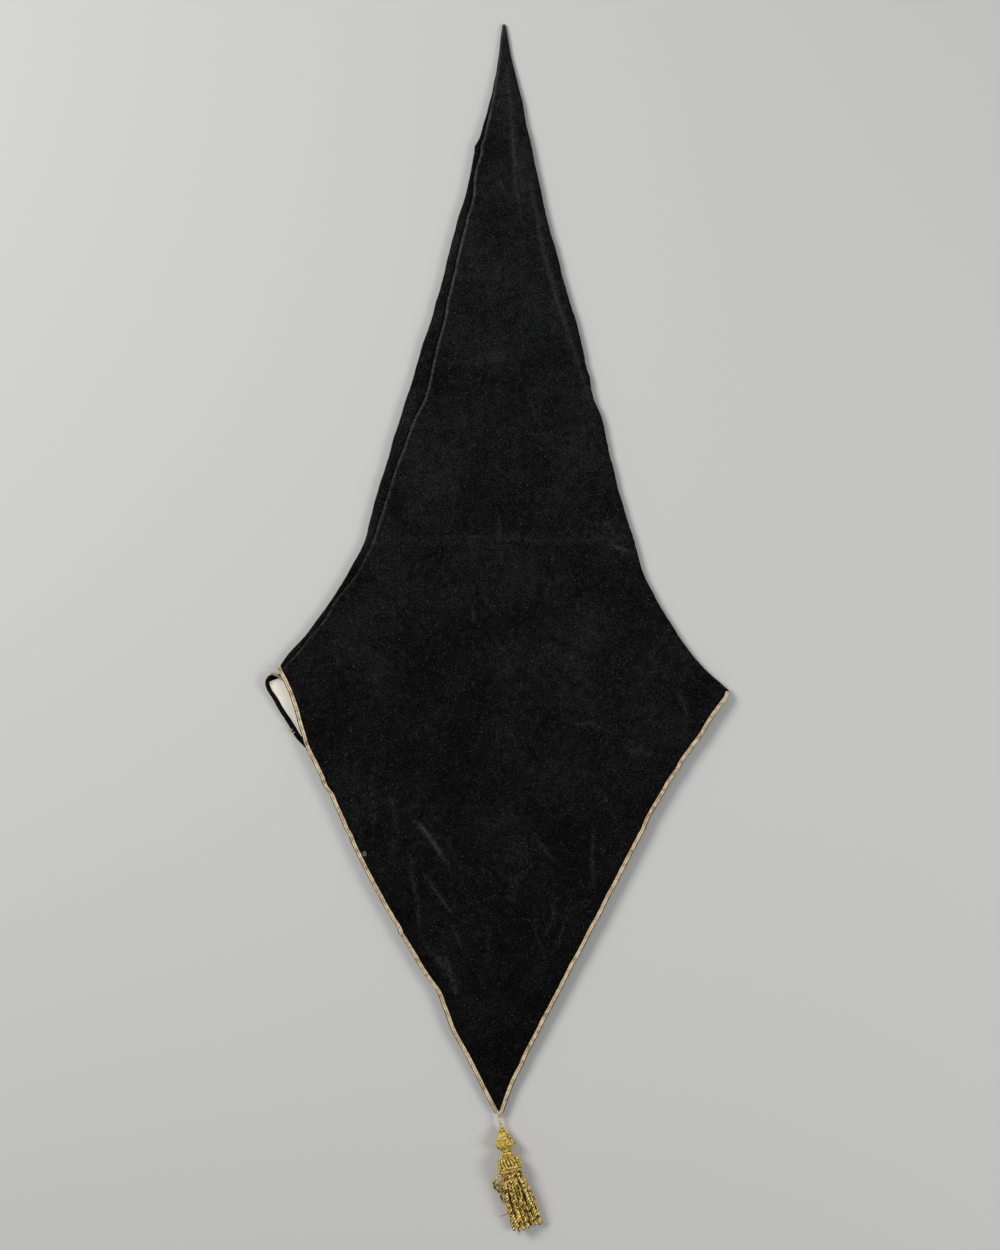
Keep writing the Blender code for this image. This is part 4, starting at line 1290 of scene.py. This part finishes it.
collar_line = smooth_line(COLLAR_PROFILE, count=14)
collar_cords = cords(twist, ringed(COLLAR_RINGS, count=40), step=0.6, pitch=4.6, ply=0.90)
collar = joined_mesh("wound_collar", turned(collar_line, sides=28), collar_cords)
shown_piece("wound_collar", collar, gold_thread, "tassel", "tassel_collar")

DOME_CORDS = 20
DOME_TURN = 0.06
DOME_CLEAR = 0.3 * MM
DOME_WOUND = 26
dome_line = smooth_line(DOME_PROFILE, count=34)
wound_part = dome_line[:DOME_WOUND]
dome_routes = []
for k in range(DOME_CORDS):
    first = 2 * math.pi * k / DOME_CORDS
    dome_routes.append([
        on_head(r + DOME_CLEAR, d, first + DOME_TURN * 2 * math.pi * i / (len(wound_part) - 1))
        for i, (r, d) in enumerate(wound_part)
    ])
dome_cords = cords(twist, dome_routes, step=0.6, pitch=4.0, ply=0.76)
foot_rings = cords(twist, ringed(FOOT_RINGS, count=60), step=0.6, pitch=4.2, ply=0.72)
dome = joined_mesh("wound_dome", turned(dome_line, sides=40), dome_cords, foot_rings)
shown_piece("wound_dome", dome, gold_thread, "tassel", "tassel_dome")

# The skirt is a bundle of bullion: strands of twisted gold cord, sewn on under the dome,
# each opening into a small eye at its end. It lies flattened on the table, and its
# strands end unevenly.
SKIRT_SEED = 5
SKIRT_STRANDS = 32
OUTER_STRANDS = 20
STRAND_POINTS = 26
STRAND_LOWEST = 1.9 * MM
SkirtSize = namedtuple("SkirtSize", "half_width half_height")
SKIRT_SIZES = [SkirtSize(*row) for row in (
    (9.4, 9.2), (12.4, 9.4), (15.4, 8.4), (16.8, 7.4), (17, 6.6), (16.2, 6.2),
)]
SKIRT_FROM = 49.0
skirt_top = TASSEL_TOP + head_way * SKIRT_FROM * MM
end_way = (SKIRT_END - skirt_top).normalized()
draw = np.random.default_rng(SKIRT_SEED)
sizes = np.array(SKIRT_SIZES) * MM
strands, strand_turns, strand_spreads, strand_thick = [], [], [], []
for k in range(SKIRT_STRANDS):
    outer = k < OUTER_STRANDS
    angle = 2 * math.pi * k / OUTER_STRANDS if outer else draw.uniform(0, 2 * math.pi)
    reach = draw.uniform(0.82, 1.0) if outer else draw.uniform(0.2, 0.75)
    long = draw.uniform(0.86, 1.05)
    sway, sway_phase = draw.uniform(0.08, 0.30), draw.uniform(0, 2 * math.pi)
    drift = draw.uniform(-0.35, 0.35)
    route = []
    for i in range(STRAND_POINTS):
        share = i / (STRAND_POINTS - 1) * long
        way = head_way.lerp(end_way, min(1.0, share * 2)).normalized()
        side = way.cross(Vector((0, 0, 1))).normalized()
        up = side.cross(way)
        wide, tall = [np.interp(share * 5, range(len(sizes)), part) for part in sizes.T]
        bend = angle + drift * share + sway * math.sin(share * 5 + sway_phase) * share
        place = skirt_top.lerp(SKIRT_END, share)
        place = place + side * math.cos(bend) * wide * reach + up * math.sin(bend) * tall * reach
        place.z = max(place.z, STRAND_LOWEST)
        route.append(place)
    strands.append(route)
    strand_turns.append(draw.uniform(0, 2 * math.pi))
    strand_thick.append(draw.uniform(0.85, 1.12))
    ends = np.linspace(0, 1, STRAND_POINTS)
    strand_spreads.append(1 + 0.5 * np.exp(-(((ends - 0.96) / 0.03) ** 2)) - 0.9 * (ends == 1))
bullion_twist = twist_tree(gold_bullion)
thick_strands = cords(
    bullion_twist, strands, step=0.9, pitch=6.5, ply=0.98,
    thick=strand_thick, turns=strand_turns, spreads=strand_spreads,
)

# One strand on the left has sprung back into a curl. A few thin gilt ends lie across
# the bundle, and one of them sticks out at its foot. The places are in millimetres.
CURL = [
    (3.6, -598, 12), (-0.6, -602, 8), (-3.4, -608, 5), (-1.6, -614.5, 4), (3.4, -616.5, 5),
    (6, -612, 7.5), (3, -606, 9), (0.6, -609, 7.5), (3.4, -620, 6), (7, -630, 6),
]
THIN_ENDS = [
    [(20, -597, 22), (22.5, -615, 23), (31, -636, 18), (34, -655, 14.5)],
    [(26, -597, 20), (36, -618, 18), (42, -637, 14), (46, -648, 8), (55.4, -652.2, 2.2)],
    [(8, -597, 18), (9, -620, 15), (15, -640, 11), (24, -657, 8)],
    [(14, -597, 22.5), (26, -612, 22.5), (27, -634, 19), (40, -652, 12)],
]
curl_mesh = cords(bullion_twist, [smooth_line(CURL, count=60)], step=0.7, pitch=5.0, ply=0.75)
thin_routes = [smooth_line(places, count=30) for places in THIN_ENDS]
thin_mesh = cords(twist, thin_routes, step=1.0, pitch=4.5, ply=0.42)
skirt_mesh = joined_mesh("bullion_skirt", thick_strands, curl_mesh, thin_mesh)
shown_piece("bullion_skirt", skirt_mesh, gold_bullion, "tassel", "tassel_skirt")

# Where the strands are sewn under the dome their orange cotton core shows, and one red
# end of it has worked out at the side.
CORE_ORANGE = (0.42, 0.17, 0.03, 1.0)
CORE_RED = (0.26, 0.04, 0.02, 1.0)
CORE_RED_BELOW = -620 * MM
CORE_ENDS = 8
RED_END = [(12, -640.5, 9), (7, -643, 9.6), (3, -644.2, 8)]
core_cotton, wire, shader = finish_tree("core_cotton", Roughness=0.9)
at = wire.node("ShaderNodeTexCoord", output="Object")
low = wire.node("ShaderNodeSeparateXYZ", {0: at}, output="Y") < CORE_RED_BELOW
shade = ((noise(at, scale=400, detail=3) - 0.5) * 1.5 + low + 0.2).limited()
linked(shader, Base_Color=shade.mixed(CORE_ORANGE, CORE_RED))
core_twist = twist_tree(core_cotton)
draw = np.random.default_rng(SKIRT_SEED)
core_ends = []
for _ in range(CORE_ENDS):
    x = draw.uniform(5.0, 13.0)
    core_ends.append(smooth_line(
        [(x, -596.5, 21.5), (x + draw.uniform(-1.5, 1.5), -599, 23),
         (x + draw.uniform(-3, 3), -601.5 + draw.uniform(-1.5, 1.5), 21.5)], count=12,
    ))
core_ends.append(smooth_line(RED_END, count=14))
core_mesh = cords(core_twist, core_ends, step=0.6, pitch=2.4, ply=0.21)
shown_piece("cotton_core", core_mesh, core_cotton, "tassel")

# A loop of the back hem's gold sewing thread has pulled loose on the gaping corner. It
# is a thin two-ply twist of the same gilt, and it rises a little as it goes round.
LOOP_CENTRE = (-227.0, -111.4, 8.6)
LOOP_RADII = (2.1, 2.3)
LOOP_DRIFT = (0.5, 0.3)
loop_route = [
    (LOOP_CENTRE[0] + LOOP_RADII[0] * math.cos(t) + LOOP_DRIFT[0] * t,
     LOOP_CENTRE[1] + LOOP_RADII[1] * math.sin(t),
     LOOP_CENTRE[2] + LOOP_DRIFT[1] * t)
    for t in np.linspace(-0.6, 1.9 * math.pi, 40)
]
loop_mesh = cords(twist, [smooth_line(loop_route, count=60)], step=0.4, pitch=2.4, ply=0.27)
shown_piece("loose_thread", loop_mesh, gold_thread, "braid")

# One bit of grey fluff is caught in the pile near the left hem. It is a loose tuft of
# thin curled fibres, lying just on the velvet.
FLUFF_SEED = 3
FLUFF_FIBRES = 16
FLUFF_CENTRE = (-145.2, -245.9, 13.6)
FLUFF_GREY = (0.20, 0.22, 0.25, 1.0)
FLUFF_DARK = (0.07, 0.08, 0.09, 1.0)
fluff_grey, wire, shader = finish_tree("grey_fluff", Roughness=0.9)
at = wire.node("ShaderNodeTexCoord", output="Object")
shade = ((noise(at, scale=600, detail=2) - 0.4) * 3.0).limited()
linked(shader, Base_Color=shade.mixed(FLUFF_GREY, FLUFF_DARK))
fluff_twist = twist_tree(fluff_grey)
draw = np.random.default_rng(FLUFF_SEED)
fibres = []
for _ in range(FLUFF_FIBRES):
    start, turn, _ = draw.uniform(0, 2 * math.pi, 3)
    wide = draw.uniform(0.8, 2.8)
    fibres.append(smooth_line([
        (FLUFF_CENTRE[0] + wide * math.cos(start + t) * (1 - 0.12 * t),
         FLUFF_CENTRE[1] + wide * math.sin(start + t),
         FLUFF_CENTRE[2] + 0.35 * math.sin(turn + 2 * t) + 0.3)
        for t in np.linspace(0, draw.uniform(2.0, 5.0), 12)
    ], count=30))
fluff_mesh = cords(fluff_twist, fibres, step=0.4, pitch=3.0, ply=0.10)
shown_piece("grey_fluff", fluff_mesh, fluff_grey, "velvet")
